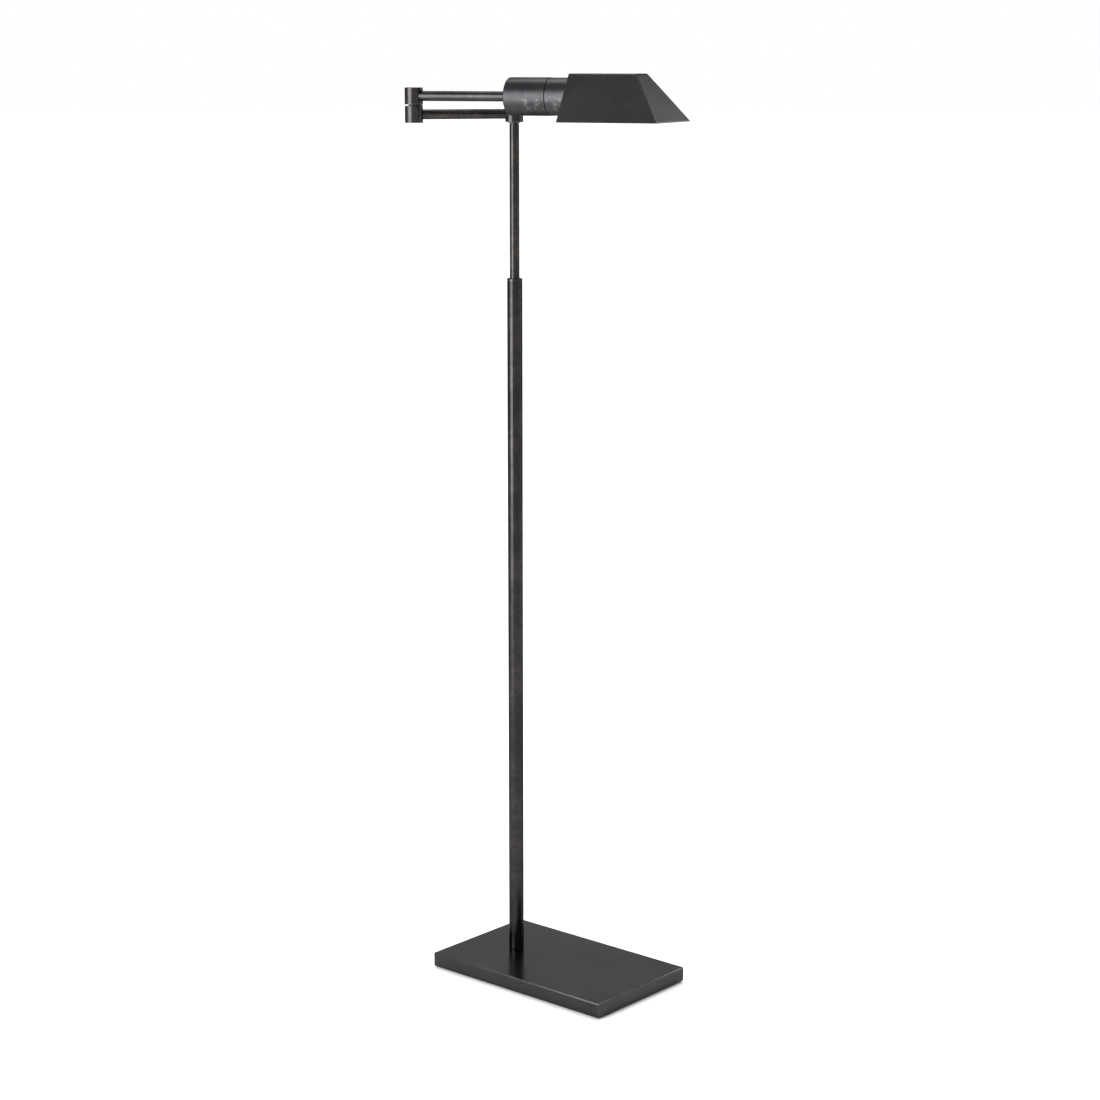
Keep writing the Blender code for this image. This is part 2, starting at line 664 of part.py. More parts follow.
def stop_lug(target, name, centre, low, high, parent):
    """Joins a lug to a drum's face: a short arc that meets the other drum's lug at each stop."""
    travel = ELBOW_CLOSING_TRAVEL + ELBOW_OPENING_TRAVEL
    span = (math.tau - travel) / 2 - STOP_LUG_SLACK
    inner = ELBOW_WASHER_R + STOP_LUG_CLEARANCE
    outer = DRUM_R - DRUM_EDGE
    mesh = bpy.data.meshes.new(name)
    form = bmesh.new()
    corners = [(inner, 0, low), (outer, 0, low), (outer, 0, high), (inner, 0, high)]
    end_face = form.faces.new([form.verts.new(corner) for corner in corners])
    geometry = [end_face, *end_face.edges, *end_face.verts]
    bmesh.ops.spin(form, geom=geometry, axis=(0, 0, 1), angle=span, steps=4)
    bmesh.ops.recalc_face_normals(form, faces=form.faces)
    form.to_mesh(mesh)
    form.free()
    join(target, add(name, mesh, None, parent, rotation=(0, 0, centre - span / 2)))


def arm_tube(name, start, end, parent):
    """A round arm along the parent's X axis."""
    return tube(name, ARM_R, ARM_BORE_R, start, end, BRONZE, parent, rotation=(0, math.pi / 2, 0))


def build_lower_arm(arm):
    """Hub, lower arm and the lower half of the elbow, with its pin. The arm's axis is z = 0."""
    low = -DRUM_HEIGHT / 2
    top = DRUM_HEIGHT / 2
    drum("pole_hub", low, HUB_RECESS_DEPTH, 0, HUB_RECESS_R, 0, arm)
    cap_bottom = top + SEAT_GAP
    cap_top = cap_bottom + HUB_CAP_THICKNESS
    cap_profile = [
        (0, cap_top),
        (HUB_CAP_R - DRUM_EDGE, cap_top),
        (HUB_CAP_R, cap_top - DRUM_EDGE),
        (HUB_CAP_R, cap_bottom),
        (HUB_CAP_SKIRT_R, cap_bottom),
        (HUB_CAP_SKIRT_R, top - HUB_CAP_SKIRT_DEPTH),
        (HUB_CAP_SKIRT_BORE_R, top - HUB_CAP_SKIRT_DEPTH),
        (HUB_CAP_SKIRT_BORE_R, cap_bottom),
        (0, cap_bottom),
    ]
    turned("hub_cap", cap_profile, BRONZE, arm, closed=False)

    arm_start = DRUM_SOCKET_FLOOR_R + SEAT_GAP
    arm_tube("lower_arm_tube", arm_start, LOWER_ARM_SPAN - arm_start, arm)

    elbow = pivot("elbow_axis", arm, (LOWER_ARM_SPAN, 0, 0), (0, 0, 0))
    lower = drum("elbow_lower_drum", low, 0, ELBOW_NUT_RECESS_DEPTH, HUB_RECESS_R, math.pi, elbow)
    lug_top = top + ELBOW_GAP - SEAT_GAP
    stop_lug(lower, "lower_stop_lug", math.pi, top - DRUM_EDGE, lug_top, elbow)
    build_elbow_pin(elbow)


def build_elbow_pin(elbow):
    """The hollow pin through both halves of the elbow, its washer and nut."""
    low = -DRUM_HEIGHT / 2
    top = DRUM_HEIGHT / 2
    upper_low = top + ELBOW_GAP
    upper_top = upper_low + DRUM_HEIGHT
    washer_span = (top + SEAT_GAP, upper_low - SEAT_GAP)
    tube("elbow_washer", ELBOW_WASHER_R, POST_HOLE_R, *washer_span, BLACK_PLASTIC, elbow)

    head_bottom = upper_top - PIN_HEAD_RECESS_DEPTH + SEAT_GAP
    head_top = head_bottom + PIN_HEAD_THICKNESS
    nut_top = low + ELBOW_NUT_RECESS_DEPTH - SEAT_GAP
    nut_bottom = nut_top - PIVOT_NUT_THICKNESS
    pin_profile = [
        (0, head_top),
        (PIN_HEAD_R - DRUM_EDGE, head_top),
        (PIN_HEAD_R, head_top - DRUM_EDGE),
        (PIN_HEAD_R, head_bottom),
        (POST_R, head_bottom),
        (POST_R, nut_bottom),
        (POST_BORE_R, nut_bottom),
        (POST_BORE_R, head_bottom),
        (0, head_bottom),
    ]
    pin = turned("elbow_pin", pin_profile, BRONZE, elbow, closed=False)
    half_slot = PIN_SLOT_WIDTH / 2
    cut_box(
        pin,
        "pin_slot",
        (-PIN_HEAD_R - MM, -half_slot, head_top - PIN_SLOT_DEPTH),
        (PIN_HEAD_R + MM, half_slot, head_top + MM),
        elbow,
    )
    upper_turn = HEAD_HEADING - LOWER_ARM_HEADING
    for name, height, turn in (
        ("pin_lower_way", 0, math.pi),
        ("pin_upper_way", upper_low + DRUM_HEIGHT / 2, upper_turn),
    ):
        cut_cylinder(
            pin,
            name,
            POST_WINDOW_R,
            0,
            2 * POST_R,
            elbow,
            location=(0, 0, height),
            rotation=(0, math.pi / 2, turn),
        )
    hex_nut("elbow_nut", PIVOT_NUT_ACROSS_FLATS, POST_HOLE_R, nut_bottom, nut_top, STEEL, elbow)


# --- Upper arm, socket housing and dimmer -----------------------------------------------------


def build_upper_arm(arm):
    """The upper half of the elbow and its arm. The arm's axis is z = 0."""
    low = -DRUM_HEIGHT / 2
    recess_r = PIN_HEAD_R + PIN_HEAD_CLEARANCE
    upper = drum("elbow_upper_drum", low, PIN_HEAD_RECESS_DEPTH, 0, recess_r, 0, arm)
    travel = ELBOW_CLOSING_TRAVEL + ELBOW_OPENING_TRAVEL
    between_lugs = ELBOW_CLOSING_TRAVEL + (math.tau - travel) / 2
    lower_lug = math.pi - (HEAD_HEADING - LOWER_ARM_HEADING)
    lug_bottom = low - ELBOW_GAP + SEAT_GAP
    stop_lug(upper, "upper_stop_lug", lower_lug - between_lugs, lug_bottom, low + DRUM_EDGE, arm)
    arm_start = DRUM_SOCKET_FLOOR_R + SEAT_GAP
    arm_tube("upper_arm_tube", arm_start, UPPER_ARM_SPAN - SEAT_GAP, arm)


def build_housing(head):
    """The drawn cup that holds the socket, and the nipple and nut that fix it to the arm."""
    rear_hole = ARM_NIPPLE_R + SEAT_GAP
    corner = (HOUSING_R - HOUSING_EDGE_RADIUS, HOUSING_EDGE_RADIUS)
    housing_profile = [
        (HOUSING_R, HOUSING_LENGTH),
        *arc(corner, HOUSING_EDGE_RADIUS, 0, -90, 4),
        (rear_hole, 0),
        (rear_hole, HOUSING_REAR_WALL),
        (HOUSING_BORE_R, HOUSING_REAR_WALL),
        (HOUSING_BORE_R, HOUSING_LENGTH),
    ]
    housing = turned("socket_housing", housing_profile, BRONZE, head, FINE)
    side_hole = DIMMER_THREAD_R + SEAT_GAP
    to_side = dict(location=(0, 0, DIMMER_FROM_REAR), rotation=(-math.pi / 2, 0, 0))
    cut_cylinder(housing, "dimmer_hole", side_hole, DIMMER_BODY_R, 2 * HOUSING_R, head, **to_side)

    groove_middle = COLLAR_START - STOP_GROOVE_FROM_SHOULDER
    screw_at = (0, 0, groove_middle)
    screw_way = dict(location=screw_at, rotation=(0, math.pi / 2, 0))
    screw_hole = STOP_PIN_R + SEAT_GAP
    cut_cylinder(housing, "stop_screw_hole", screw_hole, SPIGOT_R - 3 * MM, 2 * HOUSING_R, head, **screw_way)
    screw_start = SPIGOT_R - STOP_GROOVE_DEPTH + SEAT_GAP
    add(
        "swivel_stop_screw",
        cylinder_mesh("swivel_stop_screw", STOP_PIN_R, screw_start, HOUSING_R - SEAT_GAP, COARSE),
        STEEL,
        head,
        **screw_way,
    )

    nut_start = BRACKET_START + BRACKET_THICKNESS + SEAT_GAP
    nut_end = nut_start + ARM_NUT_THICKNESS
    nipple_end = nut_end + ARM_NIPPLE_PAST_NUT
    tube("arm_nipple", ARM_NIPPLE_R, NIPPLE_BORE_R, -ARM_NIPPLE_IN_ARM, nipple_end, STEEL, head, COARSE)
    hex_nut("arm_lock_nut", ARM_NUT_ACROSS_FLATS, rear_hole, nut_start, nut_end, STEEL, head)


def build_socket(head):
    """The bracket, the porcelain lamp socket, its screw shell and its centre contact."""
    bracket_mesh = bpy.data.meshes.new("socket_bracket")
    form = bmesh.new()
    half = BRACKET_WIDTH / 2
    bend_line = [
        (BRACKET_LIP, BRACKET_START),
        (-BRACKET_LEG_OFFSET, BRACKET_START),
        (-BRACKET_LEG_OFFSET, BRACKET_END),
        (BRACKET_LIP, BRACKET_END),
    ]
    strip = [form.verts.new((-half, y, z)) for y, z in bend_line]
    edges = [form.edges.new(pair) for pair in zip(strip, strip[1:])]
    swept = bmesh.ops.extrude_edge_only(form, edges=edges)["geom"]
    moved = [item for item in swept if isinstance(item, bmesh.types.BMVert)]
    bmesh.ops.translate(form, verts=moved, vec=(BRACKET_WIDTH, 0, 0))
    bmesh.ops.recalc_face_normals(form, faces=form.faces)
    form.to_mesh(bracket_mesh)
    form.free()
    bracket = add("socket_bracket", bracket_mesh, STEEL, head)
    sheet = bracket.modifiers.new("sheet", "SOLIDIFY")
    sheet.thickness = BRACKET_THICKNESS
    sheet.use_even_offset = True
    sheet.offset = -1
    nipple_hole = ARM_NIPPLE_R + SEAT_GAP
    cut_cylinder(bracket, "bracket_nipple_hole", nipple_hole, 0, BRACKET_START + 4 * MM, head)

    socket_profile = [
        (SOCKET_R, SOCKET_END),
        (SOCKET_R, SOCKET_START),
        (SOCKET_WIRE_HOLE_R, SOCKET_START),
        (SOCKET_WIRE_HOLE_R, SOCKET_CAVITY_START),
        (SOCKET_CAVITY_R, SOCKET_CAVITY_START),
        (SOCKET_CAVITY_R, SOCKET_END),
    ]
    socket = turned("socket_body", socket_profile, PORCELAIN, head)
    shell_bore = SCREW_SHELL_R - SCREW_SHELL_WALL
    shell_start = SOCKET_CAVITY_START + SCREW_SHELL_SETBACK
    shell_end = SOCKET_END - SEAT_GAP
    tube("socket_screw_shell", SCREW_SHELL_R, shell_bore, shell_start, shell_end, BRASS, head)
    contact_start = SOCKET_CAVITY_START + SEAT_GAP
    contact_mesh = cylinder_mesh(
        "socket_contact", CONTACT_R, contact_start, contact_start + CONTACT_THICKNESS, COARSE
    )
    add("socket_contact", contact_mesh, BRASS, head)

    screw_end = SOCKET_START + BRACKET_SCREW_LENGTH
    head_end = BRACKET_END - BRACKET_THICKNESS - SEAT_GAP
    head_start = head_end - BRACKET_SCREW_HEAD_HEIGHT
    for number, side in ((1, -1), (2, 1)):
        at = (side * BRACKET_SCREW_SPREAD, -BRACKET_SCREW_OFFSET, 0)
        hole = BRACKET_SCREW_R + SEAT_GAP
        for target in (bracket, socket):
            cut_cylinder(
                target,
                f"{target.name}_screw_hole_{number}",
                hole,
                head_end - MM,
                screw_end + SEAT_GAP,
                head,
                location=at,
            )
        profile = [
            (0, screw_end),
            (BRACKET_SCREW_R, screw_end),
            (BRACKET_SCREW_R, head_end),
            (BRACKET_SCREW_HEAD_R, head_end),
            (BRACKET_SCREW_HEAD_R, head_start),
            (0, head_start),
        ]
        turned(f"bracket_screw_{number}", profile, STEEL, head, COARSE, closed=False, location=at)


def build_dimmer(head, knob):
    """The dimmer behind the housing's side, its thread, ring nut, shaft and knob."""
    to_side = dict(location=(0, 0, DIMMER_FROM_REAR), rotation=(-math.pi / 2, 0, 0))
    wall_at_body = math.sqrt(HOUSING_BORE_R**2 - DIMMER_BODY_R**2)
    body_end = wall_at_body - SEAT_GAP
    body_start = body_end - DIMMER_BODY_LENGTH
    shaft_hole = DIMMER_SHAFT_R + DIMMER_SHAFT_CLEARANCE
    body_profile = [
        (DIMMER_THREAD_R, DIMMER_THREAD_END),
        (DIMMER_THREAD_R, body_end),
        (DIMMER_BODY_R, body_end),
        (DIMMER_BODY_R, body_start),
        (0, body_start),
        (0, body_end - 2 * MM),
        (shaft_hole, body_end - 2 * MM),
        (shaft_hole, DIMMER_THREAD_END),
    ]
    turned("dimmer_body", body_profile, BLACK_PLASTIC, head, COARSE, **to_side)
    nut_start = HOUSING_R + SEAT_GAP
    nut_end = nut_start + DIMMER_NUT_THICKNESS
    nut_bore = DIMMER_THREAD_R + SEAT_GAP
    tube("dimmer_ring_nut", DIMMER_NUT_R, nut_bore, nut_start, nut_end, BRONZE, head, COARSE, **to_side)

    knob_start = DIMMER_THREAD_END + 2 * SEAT_GAP
    knob_end = knob_start + KNOB_LENGTH
    shaft_end = knob_end - 3 * MM
    shaft_mesh = cylinder_mesh("dimmer_shaft", DIMMER_SHAFT_R, body_end - MM, shaft_end, COARSE)
    add("dimmer_shaft", shaft_mesh, BRASS, knob)
    bore = DIMMER_SHAFT_R + SEAT_GAP
    skirt_inner = KNOB_R - KNOB_SKIRT_WALL
    knob_profile = [
        (0, knob_end),
        (KNOB_R - KNOB_EDGE, knob_end),
        (KNOB_R, knob_end - KNOB_EDGE),
        (KNOB_R, knob_start),
        (skirt_inner, knob_start),
        (skirt_inner, knob_start + KNOB_RECESS_DEPTH),
        (bore, knob_start + KNOB_RECESS_DEPTH),
        (bore, shaft_end + SEAT_GAP),
        (0, shaft_end + SEAT_GAP),
    ]
    turned("dimmer_knob", knob_profile, BRONZE, knob, closed=False)


def build_bulb(head):
    """A short tubular bulb: frosted glass, screw cap, insulator and contact tip."""
    tip_end = BULB_TIP_START + BULB_TIP_THICKNESS
    tip_mesh = cylinder_mesh("bulb_tip", BULB_TIP_R, BULB_TIP_START, tip_end, COARSE)
    add("bulb_tip", tip_mesh, BRASS, head)

    root_r = BULB_CAP_R - BULB_THREAD_DEPTH
    insulator_profile = [
        (0, BULB_INSULATOR_START + BULB_INSULATOR_LENGTH),
        (root_r, BULB_INSULATOR_START + BULB_INSULATOR_LENGTH),
        (BULB_TIP_R, BULB_INSULATOR_START),
        (0, BULB_INSULATOR_START),
    ]
    turned("bulb_insulator", insulator_profile, BLACK_PLASTIC, head, COARSE, closed=False)

    turns = int(BULB_CAP_LENGTH / BULB_THREAD_PITCH)
    cap_end = BULB_CAP_START + BULB_CAP_LENGTH
    threads = []
    for turn in range(turns):
        crest = cap_end - (turn + 0.5) * BULB_THREAD_PITCH
        threads += [(root_r, crest + BULB_THREAD_PITCH / 2), (BULB_CAP_R, crest)]
    cap_wall = root_r - BULB_WALL
    cap_profile = [*threads, (root_r, BULB_CAP_START), (cap_wall, BULB_CAP_START), (cap_wall, cap_end)]
    turned("bulb_cap", cap_profile, ALUMINIUM, head)

    dome_centre = BULB_GLASS_END - BULB_R
    shoulder_end = BULB_GLASS_START + BULB_SHOULDER_LENGTH
    shoulder = []
    for step in (4, 3, 2, 1, 0):
        share = step / 4
        ease = share * share * (3 - 2 * share)
        radius = BULB_NECK_R + (BULB_R - BULB_NECK_R) * ease
        shoulder.append((radius, BULB_GLASS_START + BULB_SHOULDER_LENGTH * share))
    outer = [*arc((0, dome_centre), BULB_R, 90, 0, 6), *shoulder]
    inner = [
        (BULB_NECK_R - BULB_WALL, BULB_GLASS_START),
        (BULB_R - BULB_WALL, shoulder_end),
        *arc((0, dome_centre), BULB_R - BULB_WALL, 0, 90, 6),
    ]
    turned("bulb_glass", outer + inner, FROSTED_GLASS, head, closed=False)


# --- Shade ------------------------------------------------------------------------------------


def build_collar(roll):
    """The swivel collar that the shade hangs from, with its ring, stop pin and ring nut."""
    neck_end = COLLAR_END + NECK_LENGTH
    spigot_start = COLLAR_START - SPIGOT_LENGTH
    ring_end = COLLAR_START - SWIVEL_RING_FROM_SHOULDER
    ring_start = ring_end - SWIVEL_RING_WIDTH
    ring_floor = SPIGOT_R - SWIVEL_RING_GROOVE_DEPTH
    groove_middle = COLLAR_START - STOP_GROOVE_FROM_SHOULDER
    groove_half = STOP_GROOVE_WIDTH / 2
    groove_floor = SPIGOT_R - STOP_GROOVE_DEPTH
    collar_profile = [
        (NECK_R, neck_end),
        (NECK_R, COLLAR_END),
        (COLLAR_R, COLLAR_END),
        (COLLAR_R, COLLAR_START),
        (SPIGOT_R, COLLAR_START),
        (SPIGOT_R, ring_end),
        (ring_floor, ring_end),
        (ring_floor, ring_start),
        (SPIGOT_R, ring_start),
        (SPIGOT_R, groove_middle + groove_half),
        (groove_floor, groove_middle + groove_half),
        (groove_floor, groove_middle - groove_half),
        (SPIGOT_R, groove_middle - groove_half),
        (SPIGOT_R, spigot_start),
        (COLLAR_BORE_R, spigot_start),
        (COLLAR_BORE_R, neck_end),
    ]
    collar = turned("swivel_collar", collar_profile, BRONZE, roll, FINE)

    pin_way = dict(location=(0, 0, groove_middle), rotation=(0, -math.pi / 2, 0))
    pin_hole = STOP_PIN_R + SEAT_GAP
    cut_cylinder(collar, "stop_pin_hole", pin_hole, COLLAR_BORE_R - MM, HOUSING_R, roll, **pin_way)
    pin_mesh = cylinder_mesh("swivel_stop_pin", STOP_PIN_R, COLLAR_BORE_R, SPIGOT_R, COARSE)
    add("swivel_stop_pin", pin_mesh, STEEL, roll, **pin_way)

    tube(
        "swivel_ring",
        HOUSING_BORE_R - RUNNING_GAP,
        ring_floor + RUNNING_GAP,
        ring_start + RUNNING_GAP,
        ring_end - RUNNING_GAP,
        NYLON,
        roll,
        FINE,
    )
    nut_start = SHADE_START + SHADE_WALL + SEAT_GAP
    nut_end = nut_start + RING_NUT_THICKNESS
    tube("shade_ring_nut", RING_NUT_R, NECK_R + SEAT_GAP, nut_start, nut_end, BRONZE, roll, FINE)


def build_shade(roll):
    """The folded sheet shade: upright at the rear, sloped on its other three sides, open below.

    In the roll axes, z runs forward along the head, x runs down and y runs across.
    """
    top = -RING_NUT_R - SHADE_TOP_ROOM
    rim = RING_NUT_R + SHADE_RIM_BELOW_NUT
    half = RING_NUT_R + SHADE_SIDE_ROOM
    mesh = box_mesh("shade", (top, -half, SHADE_START), (rim, half, SHADE_FRONT))
    form = bmesh.new()
    form.from_mesh(mesh)
    for corner in form.verts:
        if corner.co.x > 0:
            continue
        corner.co.y -= math.copysign(SHADE_SLOPE, corner.co.y)
        if corner.co.z > (SHADE_START + SHADE_FRONT) / 2:
            corner.co.z -= SHADE_SLOPE
    form.normal_update()
    mouth = [face for face in form.faces if face.normal.x > 0.99]
    bmesh.ops.delete(form, geom=mouth, context="FACES_ONLY")
    form.to_mesh(mesh)
    form.free()
    shade = add("shade", mesh, BRONZE, roll)
    bend = shade.modifiers.new("bends", "BEVEL")
    bend.width = SHADE_WALL + SHADE_INNER_BEND_RADIUS
    bend.segments = 2
    sheet = shade.modifiers.new("sheet", "SOLIDIFY")
    sheet.thickness = SHADE_WALL
    sheet.offset = -1
    sheet.use_even_offset = True
    neck_hole = NECK_R + SEAT_GAP
    cut_cylinder(shade, "neck_hole", neck_hole, SHADE_START - 5 * MM, SHADE_START + 5 * MM, roll, FINE)


# --- Assembly ---------------------------------------------------------------------------------

build_base()
build_pole()

stem_pivot = pivot("stem_slide_axis", None, (0, 0, 0), (0, 0, 0))
build_stem(stem_pivot)

pole_pivot = pivot("pole_swing_axis", stem_pivot, (0, 0, LOWER_ARM_Z), (0, 0, LOWER_ARM_HEADING))
build_lower_arm(pole_pivot)

elbow_place = (LOWER_ARM_SPAN, 0, UPPER_ARM_Z - LOWER_ARM_Z)
elbow_pivot = pivot("elbow_swing_axis", pole_pivot, elbow_place, (0, 0, HEAD_HEADING - LOWER_ARM_HEADING))
build_upper_arm(elbow_pivot)

# The head's own axes: z forward along the arm, x down, y across.
head_axis = pivot("head_axis", elbow_pivot, (UPPER_ARM_SPAN, 0, 0), (0, math.pi / 2, 0))
build_housing(head_axis)
build_socket(head_axis)
build_bulb(head_axis)

knob_axis = pivot("dimmer_turn_axis", head_axis, (0, 0, DIMMER_FROM_REAR), (-math.pi / 2, 0, 0))
build_dimmer(head_axis, knob_axis)

roll_axis = pivot("shade_roll_axis", head_axis, (0, 0, 0), (0, 0, 0))
build_collar(roll_axis)
build_shade(roll_axis)
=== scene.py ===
"""Pharmacy floor lamp: the finished pieces, their metals and plastics, and the studio round them.

Metres, +Z up, on the frame's own origin: the floor under the pole. Every piece is built in axes of
its own, where Z is the line that it turns, runs or points along, and those axes come from the frame.
"""

import json
import logging
import math
from collections.abc import Callable, Iterable, Mapping, Sequence
from dataclasses import dataclass, field
from enum import Enum
from functools import cache

import bmesh
import bpy
from mathutils import Matrix, Vector, noise

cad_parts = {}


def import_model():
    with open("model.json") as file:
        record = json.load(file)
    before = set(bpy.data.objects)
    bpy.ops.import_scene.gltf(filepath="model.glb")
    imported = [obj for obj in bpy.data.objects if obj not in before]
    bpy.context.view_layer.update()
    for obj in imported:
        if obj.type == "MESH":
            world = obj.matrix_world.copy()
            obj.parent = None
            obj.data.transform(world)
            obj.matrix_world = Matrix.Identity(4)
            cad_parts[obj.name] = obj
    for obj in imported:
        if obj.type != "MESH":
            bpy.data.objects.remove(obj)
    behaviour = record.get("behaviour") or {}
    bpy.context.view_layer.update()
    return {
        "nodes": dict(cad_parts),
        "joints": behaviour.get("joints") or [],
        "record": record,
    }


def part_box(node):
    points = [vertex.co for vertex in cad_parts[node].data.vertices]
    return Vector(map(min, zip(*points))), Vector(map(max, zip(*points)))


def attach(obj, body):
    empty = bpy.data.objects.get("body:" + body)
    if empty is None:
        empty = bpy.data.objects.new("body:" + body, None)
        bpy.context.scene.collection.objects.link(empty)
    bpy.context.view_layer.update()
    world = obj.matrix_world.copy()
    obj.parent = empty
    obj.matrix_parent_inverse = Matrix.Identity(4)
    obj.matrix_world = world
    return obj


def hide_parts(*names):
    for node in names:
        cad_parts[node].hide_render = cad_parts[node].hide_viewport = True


LOG = logging.getLogger("pharmacy_floor_lamp")

Colour = tuple[float, float, float]
Feed = object

MM = 0.001
X, Y, Z = Vector((1, 0, 0)), Vector((0, 1, 0)), Vector((0, 0, 1))

# Facets round a piece, and round a small one.
ROUND = 96
SMALL_ROUND = 64

# The mesh attribute that says how near a worked edge a point is.
WEAR = "edge_wear"
WEAR_FADE = 1.2 * MM
LEAST_FADE = 0.1 * MM

# A rounded corner takes up to this share of the shorter side next to it, in this many facets.
EASE_ROOM = 0.49
EASE_STEPS = 5
CREASE = math.radians(38)

# A radius this small is on the axis, and a distance this small is on the edge.
ON_AXIS = 1e-7
ON_EDGE = 1e-6
UPRIGHT_SHARE = 0.9999
FLAT_SHARE = 0.04

# The gap between pieces that fit into each other.
FIT = 0.3 * MM

# From the elbow's axis to the rear of the housing, and from there to the dimmer's axis.
UPPER_SPAN = 125.7 * MM
DIMMER_STATION = 19 * MM


# --- Shader readings and recipes ---------------------------------------------------------------


class Reading:
    """A number that changes over a surface: Python arithmetic on it adds the Math nodes."""

    def __init__(self, recipe: "Recipe", socket: bpy.types.NodeSocket) -> None:
        """Wraps one output socket of a recipe's nodes."""
        self.recipe = recipe
        self.socket = socket

    def _math(self, operation: str, first: Feed, second: Feed) -> "Reading":
        """One Math node on two feeds."""
        made = self.recipe.node("ShaderNodeMath", {"operation": operation}, {0: first, 1: second})
        return Reading(self.recipe, made.outputs[0])

    def __add__(self, other: Feed) -> "Reading":
        """self + other."""
        return self._math("ADD", self, other)

    def __radd__(self, other: Feed) -> "Reading":
        """other + self."""
        return self._math("ADD", other, self)

    def __sub__(self, other: Feed) -> "Reading":
        """self - other."""
        return self._math("SUBTRACT", self, other)

    def __rsub__(self, other: Feed) -> "Reading":
        """other - self."""
        return self._math("SUBTRACT", other, self)

    def __mul__(self, other: Feed) -> "Reading":
        """self * other."""
        return self._math("MULTIPLY", self, other)

    def __rmul__(self, other: Feed) -> "Reading":
        """other * self."""
        return self._math("MULTIPLY", other, self)

    def between(self, low: float, high: float) -> "Reading":
        """A smooth step from 0 at low to 1 at high.

        Args:
            low: the value that gives 0.
            high: the value that gives 1, which may be the smaller one.

        Returns:
            The stepped reading, held within 0 and 1.
        """
        settings = {"interpolation_type": "SMOOTHSTEP", "clamp": True}
        feeds = {"Value": self, "From Min": low, "From Max": high}
        made = self.recipe.node("ShaderNodeMapRange", settings, feeds)
        return Reading(self.recipe, made.outputs["Result"])


class Recipe:
    """The node tree of one finish, from surface readings to its Principled shader."""

    def __init__(self, name: str) -> None:
        """Opens a material with an empty Principled shader.

        Args:
            name: the material's name.
        """
        self.material = bpy.data.materials.new(name)
        self.material.use_nodes = True
        self.tree = self.material.node_tree
        self.shader = self.tree.nodes["Principled BSDF"]
        place = self.node("ShaderNodeTexCoord", {}, {})
        self.place = place.outputs["Object"]

    def node(
        self, kind: str, settings: Mapping[str, object], feeds: Mapping[str | int, Feed]
    ) -> bpy.types.Node:
        """Adds a node, sets it up, then feeds its sockets.

        Args:
            kind: the node's type.
            settings: its own settings, set before any socket.
            feeds: a value, a reading or an output socket for each named or numbered input.

        Returns:
            The new node.
        """
        made = self.tree.nodes.new(kind)
        for setting, value in settings.items():
            setattr(made, setting, value)
        for key, value in feeds.items():
            self.feed(made.inputs[key], value)
        return made

    def feed(self, socket: bpy.types.NodeSocket, value: Feed) -> None:
        """Links a reading or an output to a socket, or sets a plain value on it.

        Args:
            socket: the input socket.
            value: what it gets.
        """
        if isinstance(value, Reading):
            value = value.socket
        if isinstance(value, bpy.types.NodeSocket):
            self.tree.links.new(value, socket)
        elif isinstance(value, tuple) and socket.type == "RGBA":
            socket.default_value = (*value, 1.0)
        else:
            socket.default_value = value

    def stretched(self, scale: Colour) -> bpy.types.NodeSocket:
        """The piece's own coordinates, in metres, multiplied along each axis."""
        made = self.node(
            "ShaderNodeVectorMath", {"operation": "MULTIPLY"}, {0: self.place, 1: scale}
        )
        return made.outputs["Vector"]

    def axes(self) -> tuple[Reading, Reading, Reading]:
        """The piece's own coordinates, one reading each, in metres."""
        made = self.node("ShaderNodeSeparateXYZ", {}, {0: self.place})
        return tuple(Reading(self, output) for output in made.outputs)

    def noise(self, scale: Colour | float, detail: float, rough: float) -> Reading:
        """Fractal noise over the piece.

        Args:
            scale: cells per metre, the same each way or one for each axis.
            detail: how many finer layers it has.
            rough: how strong the finer layers are.

        Returns:
            A reading that stays near 0.5.
        """
        each = scale if isinstance(scale, tuple) else (scale, scale, scale)
        feeds = {"Vector": self.stretched(each), "Scale": 1.0, "Detail": detail, "Roughness": rough}
        return Reading(self, self.node("ShaderNodeTexNoise", {}, feeds).outputs[0])

    def cells(self, scale: float) -> Reading:
        """Distance to the nearest point of a scatter over the piece.

        Args:
            scale: points per metre.

        Returns:
            The distance, counted in cells.
        """
        feeds = {"Vector": self.stretched((scale, scale, scale)), "Scale": 1.0}
        made = self.node("ShaderNodeTexVoronoi", {"feature": "F1"}, feeds)
        return Reading(self, made.outputs["Distance"])

    def wear(self) -> Reading:
        """How near a worked edge the surface is, as its mesh says: 1 on the edge."""
        made = self.node("ShaderNodeAttribute", {"attribute_name": WEAR}, {})
        return Reading(self, made.outputs["Fac"])

    def blend(self, share: Reading, first: Feed, second: Feed) -> bpy.types.NodeSocket:
        """A colour from first at share 0 to second at share 1."""
        made = self.node("ShaderNodeMix", {"data_type": "RGBA"}, {0: share, 6: first, 7: second})
        return made.outputs[2]

    def bump(self, height: Reading, depth: float, strength: float = 1.0) -> None:
        """Raises the surface by a reading.

        Args:
            height: the relief, from 0 to 1.
            depth: what 1 stands for, in metres.
            strength: how much of it shows.
        """
        feeds = {"Height": height, "Distance": depth, "Strength": strength}
        made = self.node("ShaderNodeBump", {}, feeds)
        self.feed(self.shader.inputs["Normal"], made.outputs["Normal"])

    def finish(self, sockets: Mapping[str, Feed]) -> bpy.types.Material:
        """Feeds the shader's own sockets.

        Args:
            sockets: what each of them gets.

        Returns:
            The material.
        """
        for name, value in sockets.items():
            self.feed(self.shader.inputs[name], value)
        return self.material


